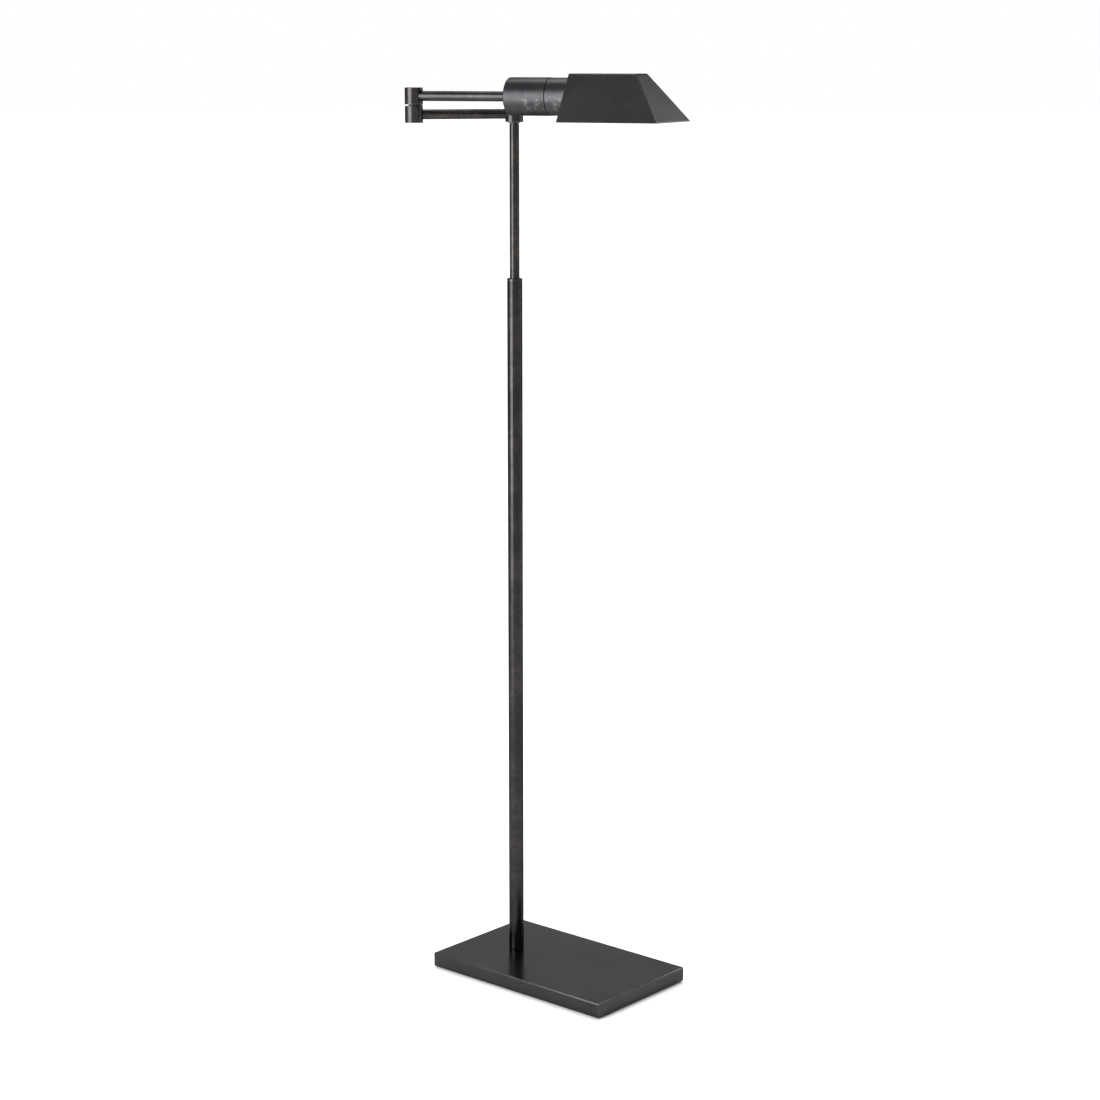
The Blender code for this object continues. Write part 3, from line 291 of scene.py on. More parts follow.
class Grain(Enum):
    """Which way the brush or the drawing die ran over a metal piece."""

    ALONG = "along"
    AROUND = "around"
    CAST = "cast"

    def scale(self, coarse: float, fine: float) -> Colour:
        """Noise cells per metre on each axis.

        Args:
            coarse: cells per metre along the strokes.
            fine: cells per metre across them.

        Returns:
            One number for each of the piece's axes.
        """
        return {
            Grain.ALONG: (fine, fine, coarse),
            Grain.AROUND: (coarse, coarse, fine),
            Grain.CAST: (fine, fine, fine),
        }[self]


# --- Finishes -----------------------------------------------------------------------------------


class Finish:
    """What covers a piece: a procedural material for one of the record's material slots."""

    name: str

    @property
    def slot(self) -> str:
        """The record's slot, which most finishes are named for."""
        return self.name

    def material(self) -> bpy.types.Material:
        """The finish's material, which every kind mixes in its own way."""
        raise NotImplementedError


@dataclass(frozen=True)
class DarkBronze(Finish):
    """Blackened bronze: satin, faintly clouded, with brown showing through in places.

    When its strength is above 0, a paler patch is painted between two stations along the piece, on
    its
    lower near side, and fades round it: it is partly black worn thin and partly a painted highlight.
    """

    grain: Grain = Grain.ALONG
    # How pale the black is. Set piece by piece below, it carries painted light and shade as well as
    # the finish's own tone.
    tone: float = 0.85
    clouds: float = 28
    depth: float = 0.35
    brown: float = 0.3
    worn: float = 0.5
    # Strength and stations of the paler patch: partly worn black, partly a painted highlight.
    rub_and_sheen: float = 0.0
    rub_and_sheen_from: float = 0.0
    rub_and_sheen_to: float = 0.05
    roughness: float = 0.33
    streak: float = 0.06
    relief: float = 0.25
    glance: float = 0.40
    name: str = "dark_bronze"

    @property
    def slot(self) -> str:
        """The record's slot, which every shade of the blackened bronze shares."""
        return "dark_bronze"

    def material(self) -> bpy.types.Material:
        """Mixes the finish.

        Returns:
            The blackened metal's material.
        """
        recipe = Recipe(f"{self.name}_{self.grain.value}")
        cloud = recipe.noise(self.clouds, 4, 0.6)
        blotch = recipe.noise(self.clouds * 5.3, 5, 0.65)
        stroke = recipe.noise(self.grain.scale(22, 2600), 2, 0.5)
        scratch = recipe.noise(self.grain.scale(9, 900), 2, 0.5)
        speck = recipe.cells(420)
        wear = recipe.wear() * (blotch * 1.1 + 0.2)
        black = tuple(self.tone * part for part in (0.043, 0.0445, 0.047))
        grey = tuple(self.tone * part for part in (0.066, 0.068, 0.071))
        tone = recipe.blend(cloud.between(0.36, 0.66) * self.depth, black, grey)
        warm = (cloud * 0.5 + blotch * 0.5).between(0.44, 0.62) * self.brown
        tone = recipe.blend(warm, tone, (0.066, 0.052, 0.045))
        tone = recipe.blend(scratch.between(0.60, 0.76) * 0.22, tone, (0.10, 0.10, 0.102))
        # The paler patch: partly bare metal, partly a painted highlight.
        if self.rub_and_sheen:
            tone = recipe.blend(self.rub_and_sheen_patch(recipe, blotch, scratch), tone, (0.21, 0.205, 0.20))
        tone = recipe.blend(speck.between(0.14, 0.05) * 0.3, tone, (0.026, 0.025, 0.025))
        tone = recipe.blend(wear.between(0.35, 1.0) * self.worn, tone, (0.15, 0.145, 0.14))
        rough = self.roughness + (cloud - 0.5) * 0.12 + (stroke - 0.5) * self.streak
        rough = rough + (blotch - 0.5) * 0.06
        recipe.bump(stroke * 0.6 + scratch * 0.25 + blotch * 0.15, 0.04 * MM, self.relief)
        return recipe.finish(
            {
                "Base Color": tone,
                "Metallic": 1.0,
                "Roughness": rough,
                "Specular Tint": (self.glance, self.glance, self.glance),
            }
        )

    def rub_and_sheen_patch(self, recipe: Recipe, blotch: Reading, scratch: Reading) -> Reading:
        """Where a paler patch shows: black worn thin, and a painted highlight on the lower near
        side.

        Args:
            recipe: the finish being mixed.
            blotch: its middle-sized noise.
            scratch: its scratches.

        Returns:
            The share of the paler patch, part bare metal and part painted highlight.
        """
        side, near, along = recipe.axes()
        fade = 6 * MM
        band = along.between(self.rub_and_sheen_from - fade, self.rub_and_sheen_from + fade)
        band = band * along.between(self.rub_and_sheen_to + fade, self.rub_and_sheen_to - fade)
        below = side.between(-6 * MM, 5 * MM) * side.between(20 * MM, 13 * MM)
        facing = near.between(2 * MM, -8 * MM)
        flecks = recipe.noise((1500, 1500, 380), 5, 0.75)
        patches = recipe.noise(130, 3, 0.6)
        broken = (flecks * 0.5 + blotch * 0.35 + scratch * 0.15).between(0.47, 0.66)
        broken = broken * patches.between(0.40, 0.56)
        return band * below * facing * broken * self.rub_and_sheen


@dataclass(frozen=True)
class PlatedSteel(Finish):
    """Zinc-plated steel of the fixings: cool grey with a fine spangle and dulled patches."""

    name: str = "zinc_steel"

    def material(self) -> bpy.types.Material:
        """Mixes the finish.

        Returns:
            The plated steel's material.
        """
        recipe = Recipe(self.name)
        spangle = recipe.cells(900)
        stain = recipe.noise(160, 4, 0.6)
        tone = recipe.blend(spangle.between(0.1, 0.9), (0.42, 0.43, 0.45), (0.56, 0.57, 0.58))
        tone = recipe.blend(stain.between(0.5, 0.7) * 0.5, tone, (0.30, 0.28, 0.25))
        recipe.bump(spangle, 0.03 * MM, 0.4)
        rough = stain * 0.3 + 0.2
        return recipe.finish({"Base Color": tone, "Metallic": 1.0, "Roughness": rough})


@dataclass(frozen=True)
class Brass(Finish):
    """Bare brass of the socket's contacts, tarnished in patches."""

    name: str = "brass"

    def material(self) -> bpy.types.Material:
        """Mixes the finish.

        Returns:
            The tarnished brass's material.
        """
        recipe = Recipe(self.name)
        tarnish = recipe.noise(190, 5, 0.62)
        line = recipe.noise((60, 60, 2400), 2, 0.5)
        tone = recipe.blend(tarnish.between(0.42, 0.68), (0.60, 0.42, 0.17), (0.27, 0.17, 0.075))
        recipe.bump(line, 0.03 * MM, 0.4)
        rough = tarnish * 0.35 + 0.14
        return recipe.finish({"Base Color": tone, "Metallic": 1.0, "Roughness": rough})


@dataclass(frozen=True)
class Aluminium(Finish):
    """Rolled aluminium of the bulb's cap: bright crests, greyer roots."""

    name: str = "aluminium"

    def material(self) -> bpy.types.Material:
        """Mixes the finish.

        Returns:
            The rolled aluminium's material.
        """
        recipe = Recipe(self.name)
        smear = recipe.noise((120, 120, 900), 4, 0.6)
        tone = recipe.blend(smear.between(0.4, 0.65), (0.72, 0.72, 0.73), (0.50, 0.50, 0.51))
        recipe.bump(smear, 0.04 * MM, 0.4)
        rough = smear * 0.4 + 0.12
        return recipe.finish({"Base Color": tone, "Metallic": 1.0, "Roughness": rough})


@dataclass(frozen=True)
class Moulded(Finish):
    """A moulded plastic or rubber: body colour, flow clouding, fine texture and dust."""

    name: str
    body: Colour
    cloudy: Colour
    roughness: float
    texture: float = 0.04 * MM

    def material(self) -> bpy.types.Material:
        """Mixes the finish.

        Returns:
            The moulded piece's material.
        """
        recipe = Recipe(self.name)
        flow = recipe.noise(110, 4, 0.6)
        pore = recipe.noise(2200, 2, 0.5)
        tone = recipe.blend(flow.between(0.38, 0.66), self.body, self.cloudy)
        tone = recipe.blend(recipe.wear() * 0.3, tone, tuple(min(1.0, c * 1.5) for c in self.cloudy))
        recipe.bump(pore, self.texture, 0.5)
        rough = self.roughness + (flow - 0.5) * 0.3 + (pore - 0.5) * 0.1
        return recipe.finish({"Base Color": tone, "Roughness": rough})


@dataclass(frozen=True)
class Felt(Finish):
    """Pressed black felt: matted fibres, lint and a soft sheen."""

    name: str = "felt"

    def material(self) -> bpy.types.Material:
        """Mixes the finish.

        Returns:
            The pressed felt's material.
        """
        recipe = Recipe(self.name)
        fibre = recipe.noise((700, 2600, 700), 4, 0.7)
        cross = recipe.noise((2600, 700, 700), 4, 0.7)
        matt = fibre * 0.5 + cross * 0.5
        lump = recipe.noise(85, 4, 0.6)
        tone = recipe.blend(matt.between(0.38, 0.62), (0.009, 0.009, 0.010), (0.034, 0.034, 0.037))
        tone = recipe.blend(lump.between(0.5, 0.7) * 0.5, tone, (0.045, 0.043, 0.041))
        recipe.bump(matt * 0.7 + lump * 0.3, 0.35 * MM, 0.9)
        rough = 0.86 + (matt - 0.5) * 0.2
        return recipe.finish(
            {
                "Base Color": tone,
                "Roughness": rough,
                "Sheen Weight": 0.25,
                "Sheen Roughness": 0.5,
                "Specular IOR Level": 0.2,
            }
        )


@dataclass(frozen=True)
class Porcelain(Finish):
    """Glazed porcelain of the lamp socket, with a few firing specks."""

    name: str = "porcelain"

    def material(self) -> bpy.types.Material:
        """Mixes the finish.

        Returns:
            The glazed porcelain's material.
        """
        recipe = Recipe(self.name)
        pool = recipe.noise(90, 3, 0.5)
        speck = recipe.cells(260)
        tone = recipe.blend(pool.between(0.35, 0.65), (0.80, 0.78, 0.73), (0.87, 0.86, 0.82))
        tone = recipe.blend(speck.between(0.08, 0.02) * 0.5, tone, (0.35, 0.30, 0.25))
        recipe.bump(pool, 0.2 * MM, 0.3)
        rough = pool * 0.15 + 0.10
        return recipe.finish({"Base Color": tone, "Roughness": rough, "Coat Weight": 0.3})


@dataclass(frozen=True)
class FrostedGlass(Finish):
    """Acid-frosted bulb glass: white, slightly uneven, with a soft shine."""

    name: str = "frosted_glass"

    def material(self) -> bpy.types.Material:
        """Mixes the finish.

        Returns:
            The frosted glass's material.
        """
        recipe = Recipe(self.name)
        frost = recipe.noise(1500, 3, 0.6)
        drift = recipe.noise(60, 3, 0.5)
        tone = recipe.blend(drift.between(0.35, 0.65), (0.58, 0.58, 0.565), (0.68, 0.68, 0.67))
        recipe.bump(frost, 0.03 * MM, 0.4)
        rough = drift * 0.16 + 0.26
        return recipe.finish({"Base Color": tone, "Roughness": rough, "IOR": 1.5})


@dataclass(frozen=True)
class WhiteEnamel(Finish):
    """Baked white enamel inside the shade: orange peel, a little yellowed, chipped at edges."""

    name: str = "white_enamel"

    def material(self) -> bpy.types.Material:
        """Mixes the finish.

        Returns:
            The baked enamel's material.
        """
        recipe = Recipe(self.name)
        peel = recipe.noise(650, 2, 0.5)
        age = recipe.noise(38, 4, 0.6)
        chip = recipe.wear() * recipe.noise(420, 3, 0.6)
        tone = recipe.blend(age.between(0.38, 0.66), (0.50, 0.49, 0.46), (0.43, 0.41, 0.37))
        tone = recipe.blend(chip.between(0.54, 0.60), tone, (0.06, 0.055, 0.05))
        recipe.bump(peel, 0.08 * MM, 0.5)
        rough = age * 0.2 + 0.22
        return recipe.finish({"Base Color": tone, "Roughness": rough})


@dataclass(frozen=True)
class StudioPaper(Finish):
    """The pale seamless paper that the lamp stands on."""

    name: str = "studio_paper"

    def material(self) -> bpy.types.Material:
        """Mixes the finish.

        Returns:
            The paper's material.
        """
        recipe = Recipe(self.name)
        tooth = recipe.noise(900, 2, 0.5)
        wash = recipe.noise(0.8, 2, 0.5)
        tone = recipe.blend(wash.between(0.3, 0.7), (0.84, 0.84, 0.845), (0.86, 0.86, 0.86))
        recipe.bump(tooth, 0.03 * MM, 0.2)
        rough = tooth * 0.1 + 0.85
        return recipe.finish({"Base Color": tone, "Roughness": rough, "Specular IOR Level": 0.1})


BLACK_PLASTIC = Moulded("black_plastic", (0.012, 0.012, 0.013), (0.024, 0.024, 0.025), 0.38)
NYLON = Moulded("nylon", (0.70, 0.68, 0.61), (0.78, 0.77, 0.72), 0.45)
RUBBER = Moulded("rubber", (0.010, 0.010, 0.010), (0.022, 0.021, 0.020), 0.72, 0.08 * MM)
PLATED_STEEL, BRASS, ALUMINIUM = PlatedSteel(), Brass(), Aluminium()
FELT, PORCELAIN, FROSTED_GLASS = Felt(), Porcelain(), FrostedGlass()

# Copies of one blackened bronze whose tones differ as painted light and shade: the pole and the stem
# are made darkest as painted shade, and the collar, knob and shade sheet lightest as painted light.
TURNED_BRONZE = DarkBronze(
    Grain.AROUND, tone=0.66, clouds=45, worn=0.3, roughness=0.28, name="dark_bronze_turned"
)
PLATE_BRONZE = DarkBronze(
    Grain.CAST, tone=0.68, clouds=9, depth=0.25, brown=0.0, worn=0.2, roughness=0.19,
    streak=0.02, relief=0.1, glance=0.84, name="dark_bronze_plate",
)
POLE_BRONZE = DarkBronze(
    Grain.ALONG, tone=0.48, clouds=24, brown=0.3, roughness=0.22, relief=0.12,
    name="dark_bronze_tube",
)
STEM_BRONZE = DarkBronze(
    Grain.ALONG, tone=0.56, clouds=30, brown=0.45, roughness=0.24, relief=0.12,
    name="dark_bronze_stem",
)
ARM_BRONZES = {
    arm: DarkBronze(
        Grain.ALONG, tone=0.66, clouds=38, brown=brown, roughness=0.30, relief=0.12,
        name=f"dark_bronze_{arm}",
    )
    for arm, brown in (("lower_arm", 0.8), ("upper_arm", 0.3))
}
# The housing and the collar carry the paler patch near their seam: partly worn black, partly a
# painted highlight on the lower near side.
HOUSING_BRONZE = DarkBronze(
    Grain.AROUND, tone=0.7, clouds=40, brown=0.15, worn=0.1, rub_and_sheen=0.7, rub_and_sheen_from=24 * MM,
    rub_and_sheen_to=49 * MM, roughness=0.38, name="dark_bronze_housing",
)
COLLAR_BRONZE = DarkBronze(
    Grain.AROUND, tone=0.78, clouds=42, brown=0.15, worn=0.1, rub_and_sheen=0.65, rub_and_sheen_from=57 * MM,
    rub_and_sheen_to=74 * MM, roughness=0.38, name="dark_bronze_collar",
)
KNOB_BRONZE = DarkBronze(
    Grain.AROUND, clouds=60, brown=0.3, roughness=0.32, name="dark_bronze_knob"
)
SHEET_BRONZE = DarkBronze(
    Grain.CAST, tone=1.0, clouds=17, depth=0.3, brown=0.08, worn=0.12, roughness=0.33,
    streak=0.05, name="dark_bronze_sheet",
)

# What the frame's own nodes wear where they still show.
SLOT_FINISHES = {
    finish.slot: finish
    for finish in (
        TURNED_BRONZE, PLATED_STEEL, BRASS, ALUMINIUM, NYLON, BLACK_PLASTIC, RUBBER, FELT,
        PORCELAIN, FROSTED_GLASS,
    )
}


@cache
def mixed(finish: Finish) -> bpy.types.Material:
    """One material for each finish, however many pieces wear it."""
    return finish.material()


# --- Workshop -----------------------------------------------------------------------------------


@dataclass(frozen=True)
class Room:
    """The box that one of the frame's nodes fills at rest."""

    low: Vector
    high: Vector

    @classmethod
    def of(cls, node: str) -> "Room":
        """The room of a named node."""
        return cls(*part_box(node))

    @property
    def size(self) -> Vector:
        """How long it is on each axis."""
        return self.high - self.low

    @property
    def middle(self) -> Vector:
        """Its centre."""
        return (self.low + self.high) / 2

    @property
    def radius(self) -> float:
        """The radius of an upright round piece that fills it."""
        return self.size.x / 2


@dataclass(frozen=True)
class Corner:
    """One corner of a turned profile: rounded where it has ease, and worn if it stands proud."""

    radius: float
    along: float
    ease: float = 0.0
    worn: bool = True

    @property
    def point(self) -> Vector:
        """Where it is, as radius and station."""
        return Vector((self.radius, self.along))


@dataclass(frozen=True)
class Stand:
    """Where a sub-assembly's own axes are: Z points along, X is the side that is up or ahead."""

    origin: Vector
    along: Vector
    side: Vector

    def matrix(self, start: float = 0.0) -> Matrix:
        """The axes as a matrix, moved along Z.

        Args:
            start: how far they are moved, in metres.

        Returns:
            The matrix.
        """
        z = self.along.normalized()
        y = z.cross(self.side).normalized()
        turn = Matrix((y.cross(z), y, z)).transposed().to_4x4()
        return Matrix.Translation(self.origin + z * start) @ turn

    def leaning(self, along: Vector, side: Vector, station: float = 0.0) -> "Stand":
        """A second set of axes at a station on Z, with its directions given in this one's own.

        Args:
            along: the new Z.
            side: the new X.
            station: where it stands, in metres along this one's Z.

        Returns:
            The new stand.
        """
        own = self.matrix()
        turn = own.to_3x3()
        return Stand(own @ (Z * station), turn @ along, turn @ side)


UPRIGHT = Stand(Vector(), Z, X)


@dataclass(frozen=True)
class Bearings:
    """The lines of the frame that the moving pieces are built on."""

    elbow: Vector
    forward: Vector

    @classmethod
    def read(cls, joints: Iterable[Mapping[str, object]]) -> "Bearings":
        """Takes the elbow's place and the head's direction from the frame's joints.

        Args:
            joints: the frame's joints.

        Returns:
            The bearings.
        """
        rows = {joint["name"]: joint for joint in joints}
        forward = Vector(rows["shade_roll"]["axis"]).normalized()
        return cls(Vector(rows["elbow_swing"]["pos_m"]), forward)

    def head(self) -> Stand:
        """The head's axes.

        Returns:
            A stand at the rear of the housing, with Z ahead and X down.
        """
        height = Room.of("upper_arm_tube").middle.z
        rear = Vector((self.elbow.x, self.elbow.y, height)) + self.forward * UPPER_SPAN
        return Stand(rear, self.forward, -Z)


def entered(name: str, data: bpy.types.ID) -> bpy.types.Object:
    """A new object in the scene.

    Args:
        name: the object's name.
        data: its mesh, light or camera.

    Returns:
        The object.
    """
    made = bpy.data.objects.new(name, data)
    bpy.context.scene.collection.objects.link(made)
    return made


def formed(name: str, form: bmesh.types.BMesh, place: Matrix) -> bpy.types.Object:
    """A new object from a form, put in its place.

    Args:
        name: the object's name.
        form: its shape in its own axes, which is used up.
        place: those axes. An upright piece keeps only where it stands, and its turn about the
            vertical goes into the mesh.

    Returns:
        The object.
    """
    mesh = bpy.data.meshes.new(name)
    form.to_mesh(mesh)
    form.free()
    if place.col[2].z > UPRIGHT_SHARE:
        mesh.transform(place.to_3x3().to_4x4())
        place = Matrix.Translation(place.translation)
    piece = entered(name, mesh)
    piece.matrix_world = place
    return piece


def shaded(piece: bpy.types.Object) -> bpy.types.Object:
    """Gives a piece smooth shading with hard lines at the creases.

    Args:
        piece: the piece.

    Returns:
        The same piece.
    """
    piece.data.shade_smooth()
    piece.data.set_sharp_from_angle(angle=CREASE)
    return piece


def settled(piece: bpy.types.Object) -> None:
    """Makes a piece's modifiers part of its mesh.

    Args:
        piece: the piece.
    """
    bpy.context.view_layer.update()
    depsgraph = bpy.context.evaluated_depsgraph_get()
    result = bpy.data.meshes.new_from_object(
        piece.evaluated_get(depsgraph), preserve_all_data_layers=True, depsgraph=depsgraph
    )
    piece.modifiers.clear()
    result.name = piece.name
    piece.data = result


def combined(
    piece: bpy.types.Object, tools: Sequence[bpy.types.Object], operation: str = "DIFFERENCE"
) -> bpy.types.Object:
    """Cuts other bodies out of a piece, or fuses them to it.

    Args:
        piece: what is kept.
        tools: the other bodies, which are removed afterwards.
        operation: DIFFERENCE to cut, UNION to fuse.

    Returns:
        The piece, with its mesh settled.
    """
    for tool in tools:
        step = piece.modifiers.new(tool.name, "BOOLEAN")
        step.operation = operation
        step.solver = "EXACT"
        step.object = tool
    settled(piece)
    for tool in tools:
        bpy.data.objects.remove(tool)
    return shaded(piece)


def eased(back: Corner, corner: Corner, ahead: Corner) -> list[tuple[float, float, float]]:
    """The points round one rounded corner of a turned profile.

    Args:
        back: the corner before it.
        corner: the corner.
        ahead: the corner after it.

    Returns:
        (radius, along, wear) for each point.
    """
    here = corner.point
    to_back, to_ahead = back.point - here, ahead.point - here
    half = to_back.angle(to_ahead) / 2
    room = min(to_back.length, to_ahead.length) * EASE_ROOM
    reach = min(corner.ease / math.tan(half), room)
    ease = reach * math.tan(half)
    first, last = to_back.normalized(), to_ahead.normalized()
    middle = (first + last).normalized() * (ease / math.sin(half)) + here
    start, finish = here + first * reach - middle, here + last * reach - middle
    wear = 1.0 if corner.worn else 0.0
    points = []
    for step in range(EASE_STEPS + 1):
        spoke = start.slerp(finish, step / EASE_STEPS).normalized()
        points.append((*(middle + spoke * ease), wear))
    fade = min(WEAR_FADE, room - reach)
    if fade > LEAST_FADE:
        points.insert(0, (*(here + first * (reach + fade)), 0.0))
        points.append((*(here + last * (reach + fade)), 0.0))
    return points


def rounded_profile(corners: Sequence[Corner], closed: bool) -> list[tuple[float, float, float]]:
    """The points of a turned profile.

    Args:
        corners: its corners, in order.
        closed: whether the last corner joins the first.

    Returns:
        (radius, along, wear) for each point.
    """
    points: list[tuple[float, float, float]] = []
    last = len(corners) - 1
    for index, corner in enumerate(corners):
        if corner.ease and (closed or 0 < index < last):
            points += eased(corners[index - 1], corner, corners[(index + 1) % len(corners)])
        else:
            points.append((*corner.point, 0.0))
    return points


def turned(
    name: str,
    corners: Sequence[Corner],
    place: Matrix,
    sides: int = ROUND,
    closed: bool = True,
    ripple: Callable[[float, float], float] | None = None,
) -> bpy.types.Object:
    """A piece turned on a lathe about its own Z axis.

    Args:
        name: the piece's name.
        corners: the profile. A closed one returns along the bore, an open one starts and ends on
            the axis.
        place: the piece's axes.
        sides: facets round it.
        closed: whether the profile closes on itself.
        ripple: what to add to the radius at (angle, along), for knurls and flutes.

    Returns:
        The new piece.
    """
    form = bmesh.new()
    layer = form.verts.layers.float.new(WEAR)
    rings: list[list[bmesh.types.BMVert]] = []
    for radius, along, wear in rounded_profile(corners, closed):
        on_axis = radius < ON_AXIS
        ring = []
        for side in range(1 if on_axis else sides):
            angle = math.tau * side / sides
            reach = radius + (ripple(angle, along) if ripple else 0.0)
            flat = (0, 0) if on_axis else (reach * math.cos(angle), reach * math.sin(angle))
            vertex = form.verts.new((*flat, along))
            vertex[layer] = wear
            ring.append(vertex)
        rings.append(ring * sides if on_axis else ring)
    pairs = list(zip(rings, rings[1:]))
    if closed:
        pairs.append((rings[-1], rings[0]))
    for first, second in pairs:
        for side in range(sides):
            after = (side + 1) % sides
            face = dict.fromkeys((first[side], first[after], second[after], second[side]))
            if len(face) > 2:
                form.faces.new(list(face))
    bmesh.ops.recalc_face_normals(form, faces=form.faces)
    return shaded(formed(name, form, place))


def pipe(
    name: str, outer: float, wall: float, start: float, end: float, place: Matrix, ease: float
) -> bpy.types.Object:
    """A length of tube with its cut ends eased.

    Args:
        name: the piece's name.
        outer: the outer radius.
        wall: how thick it is.
        start: the station of one end.
        end: the station of the other.
        place: the tube's axes.
        ease: how far the ends are rounded.

    Returns:
        The tube.
    """
    bore = outer - wall
    small = min(ease, wall * 0.45)
    corners = [
        Corner(outer, start, small),
        Corner(outer, end, small),
        Corner(bore, end, small, worn=False),
        Corner(bore, start, small, worn=False),
    ]
    return turned(name, corners, place)


def rod(
    radius: float, start: float, end: float, place: Matrix, sides: int = ROUND
) -> bpy.types.Object:
    """A plain round tool for boring holes, from one station to another."""
    corners = [Corner(0, start), Corner(radius, start), Corner(radius, end), Corner(0, end)]
    return turned("boring_tool", corners, place, sides, closed=False)


def sheeted(
    name: str, form: bmesh.types.BMesh, ease: float, steps: int, reach: float, place: Matrix
) -> bpy.types.Object:
    """Rounds the edges of a flat-sided form and marks where they wear.

    Args:
        name: the piece's name.
        form: the flat-sided form, which is used up.
        ease: how far each edge is rounded.
        steps: facets over each rounded edge.
        reach: how far wear runs in from an edge.
        place: the piece's axes.

    Returns:
        The new piece.
    """
    layer = form.verts.layers.float.new(WEAR)
    folds = [edge for edge in form.edges if not edge.is_boundary]
    bmesh.ops.bevel(
        form, geom=folds, offset=ease, segments=steps, profile=0.5, affect="EDGES",
        clamp_overlap=True,
    )
    for vertex in form.verts:
        vertex[layer] = 1.0
    flats = sorted(form.faces, key=lambda face: face.calc_area(), reverse=True)
    least = flats[0].calc_area() * FLAT_SHARE
    flats = [face for face in flats if face.calc_area() > least]
    rim = {vertex for face in flats for vertex in face.verts}
    bmesh.ops.inset_individual(form, faces=flats, thickness=reach, use_even_offset=True)
    for face in flats:
        for vertex in face.verts:
            if vertex not in rim:
                vertex[layer] = 0.0
    return shaded(formed(name, form, place))


def box_form(low: Sequence[float], high: Sequence[float]) -> bmesh.types.BMesh:
    """A box between two corners, as a form to work on.

    Args:
        low: its lowest corner.
        high: its highest corner.

    Returns:
        The form.
    """
    form = bmesh.new()
    bmesh.ops.create_cube(form, size=1.0)
    for vertex in form.verts:
        vertex.co = Vector(high[i] if vertex.co[i] > 0 else low[i] for i in range(3))
    return form


def box_tool(low: Sequence[float], high: Sequence[float], place: Matrix) -> bpy.types.Object:
    """A square-cornered tool for milling slots, between two corners."""
    return formed("milling_tool", box_form(low, high), place)


@dataclass(frozen=True)
class NotchedNut:
    """A thin ring nut with wrench notches round it. Its eases are outer end, outer start, bore."""

    radius: float
    bore: float
    start: float
    thickness: float
    eases: tuple[float, float, float]
    notches: int
    notch_depth: float
    notch_width: float
    phase: float = 0.0

    def cut(self, name: str, place: Matrix) -> bpy.types.Object:
        """Turns the ring and mills its notches.

        Args:
            name: the piece's name.
            place: its axes.

        Returns:
            The nut.
        """
        end = self.start + self.thickness
        corners = [
            Corner(self.radius, end, self.eases[0]),
            Corner(self.radius, self.start, self.eases[1]),
            Corner(self.bore, self.start),
            Corner(self.bore, end, self.eases[2]),
        ]
        half = self.notch_width / 2
        tools = [
            box_tool(
                (self.radius - self.notch_depth, -half, self.start - MM),
                (self.radius + MM, half, end + MM),
                place @ Matrix.Rotation(math.tau * (notch + self.phase) / self.notches, 4, "Z"),
            )
            for notch in range(self.notches)
        ]
        return combined(turned(name, corners, place), tools)


@dataclass
class Assembly:
    """What every sub-assembly does: build its pieces, dress them and hang them on their bodies."""

    bearings: Bearings
    pieces: list[bpy.types.Object] = field(default_factory=list, init=False)

    def __post_init__(self) -> None:
        """Builds every piece."""
        self.build()

    def dress(
        self, piece: bpy.types.Object, finish: Finish, body: str, *nodes: str
    ) -> bpy.types.Object:
        """Gives a piece its finish and hangs it on a body in place of its plain nodes.

        Args:
            piece: the piece, in place.
            finish: what covers it.
            body: the body that it moves with.
            nodes: the plain nodes that it stands for.

        Returns:
            The piece.
        """
        coats = piece.data.materials
        if coats:
            coats[0] = mixed(finish)
        else:
            coats.append(mixed(finish))
        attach(piece, body)
        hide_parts(*nodes)
        self.pieces.append(piece)
        return piece

    def report(self) -> None:
        """Logs each piece with its size."""
        for piece in self.pieces:
            size = " x ".join(f"{length / MM:.1f}" for length in piece.dimensions)
            LOG.info("%s: %s, %s mm", type(self).__name__, piece.name, size)


# --- Base, pole and stem ------------------------------------------------------------------------


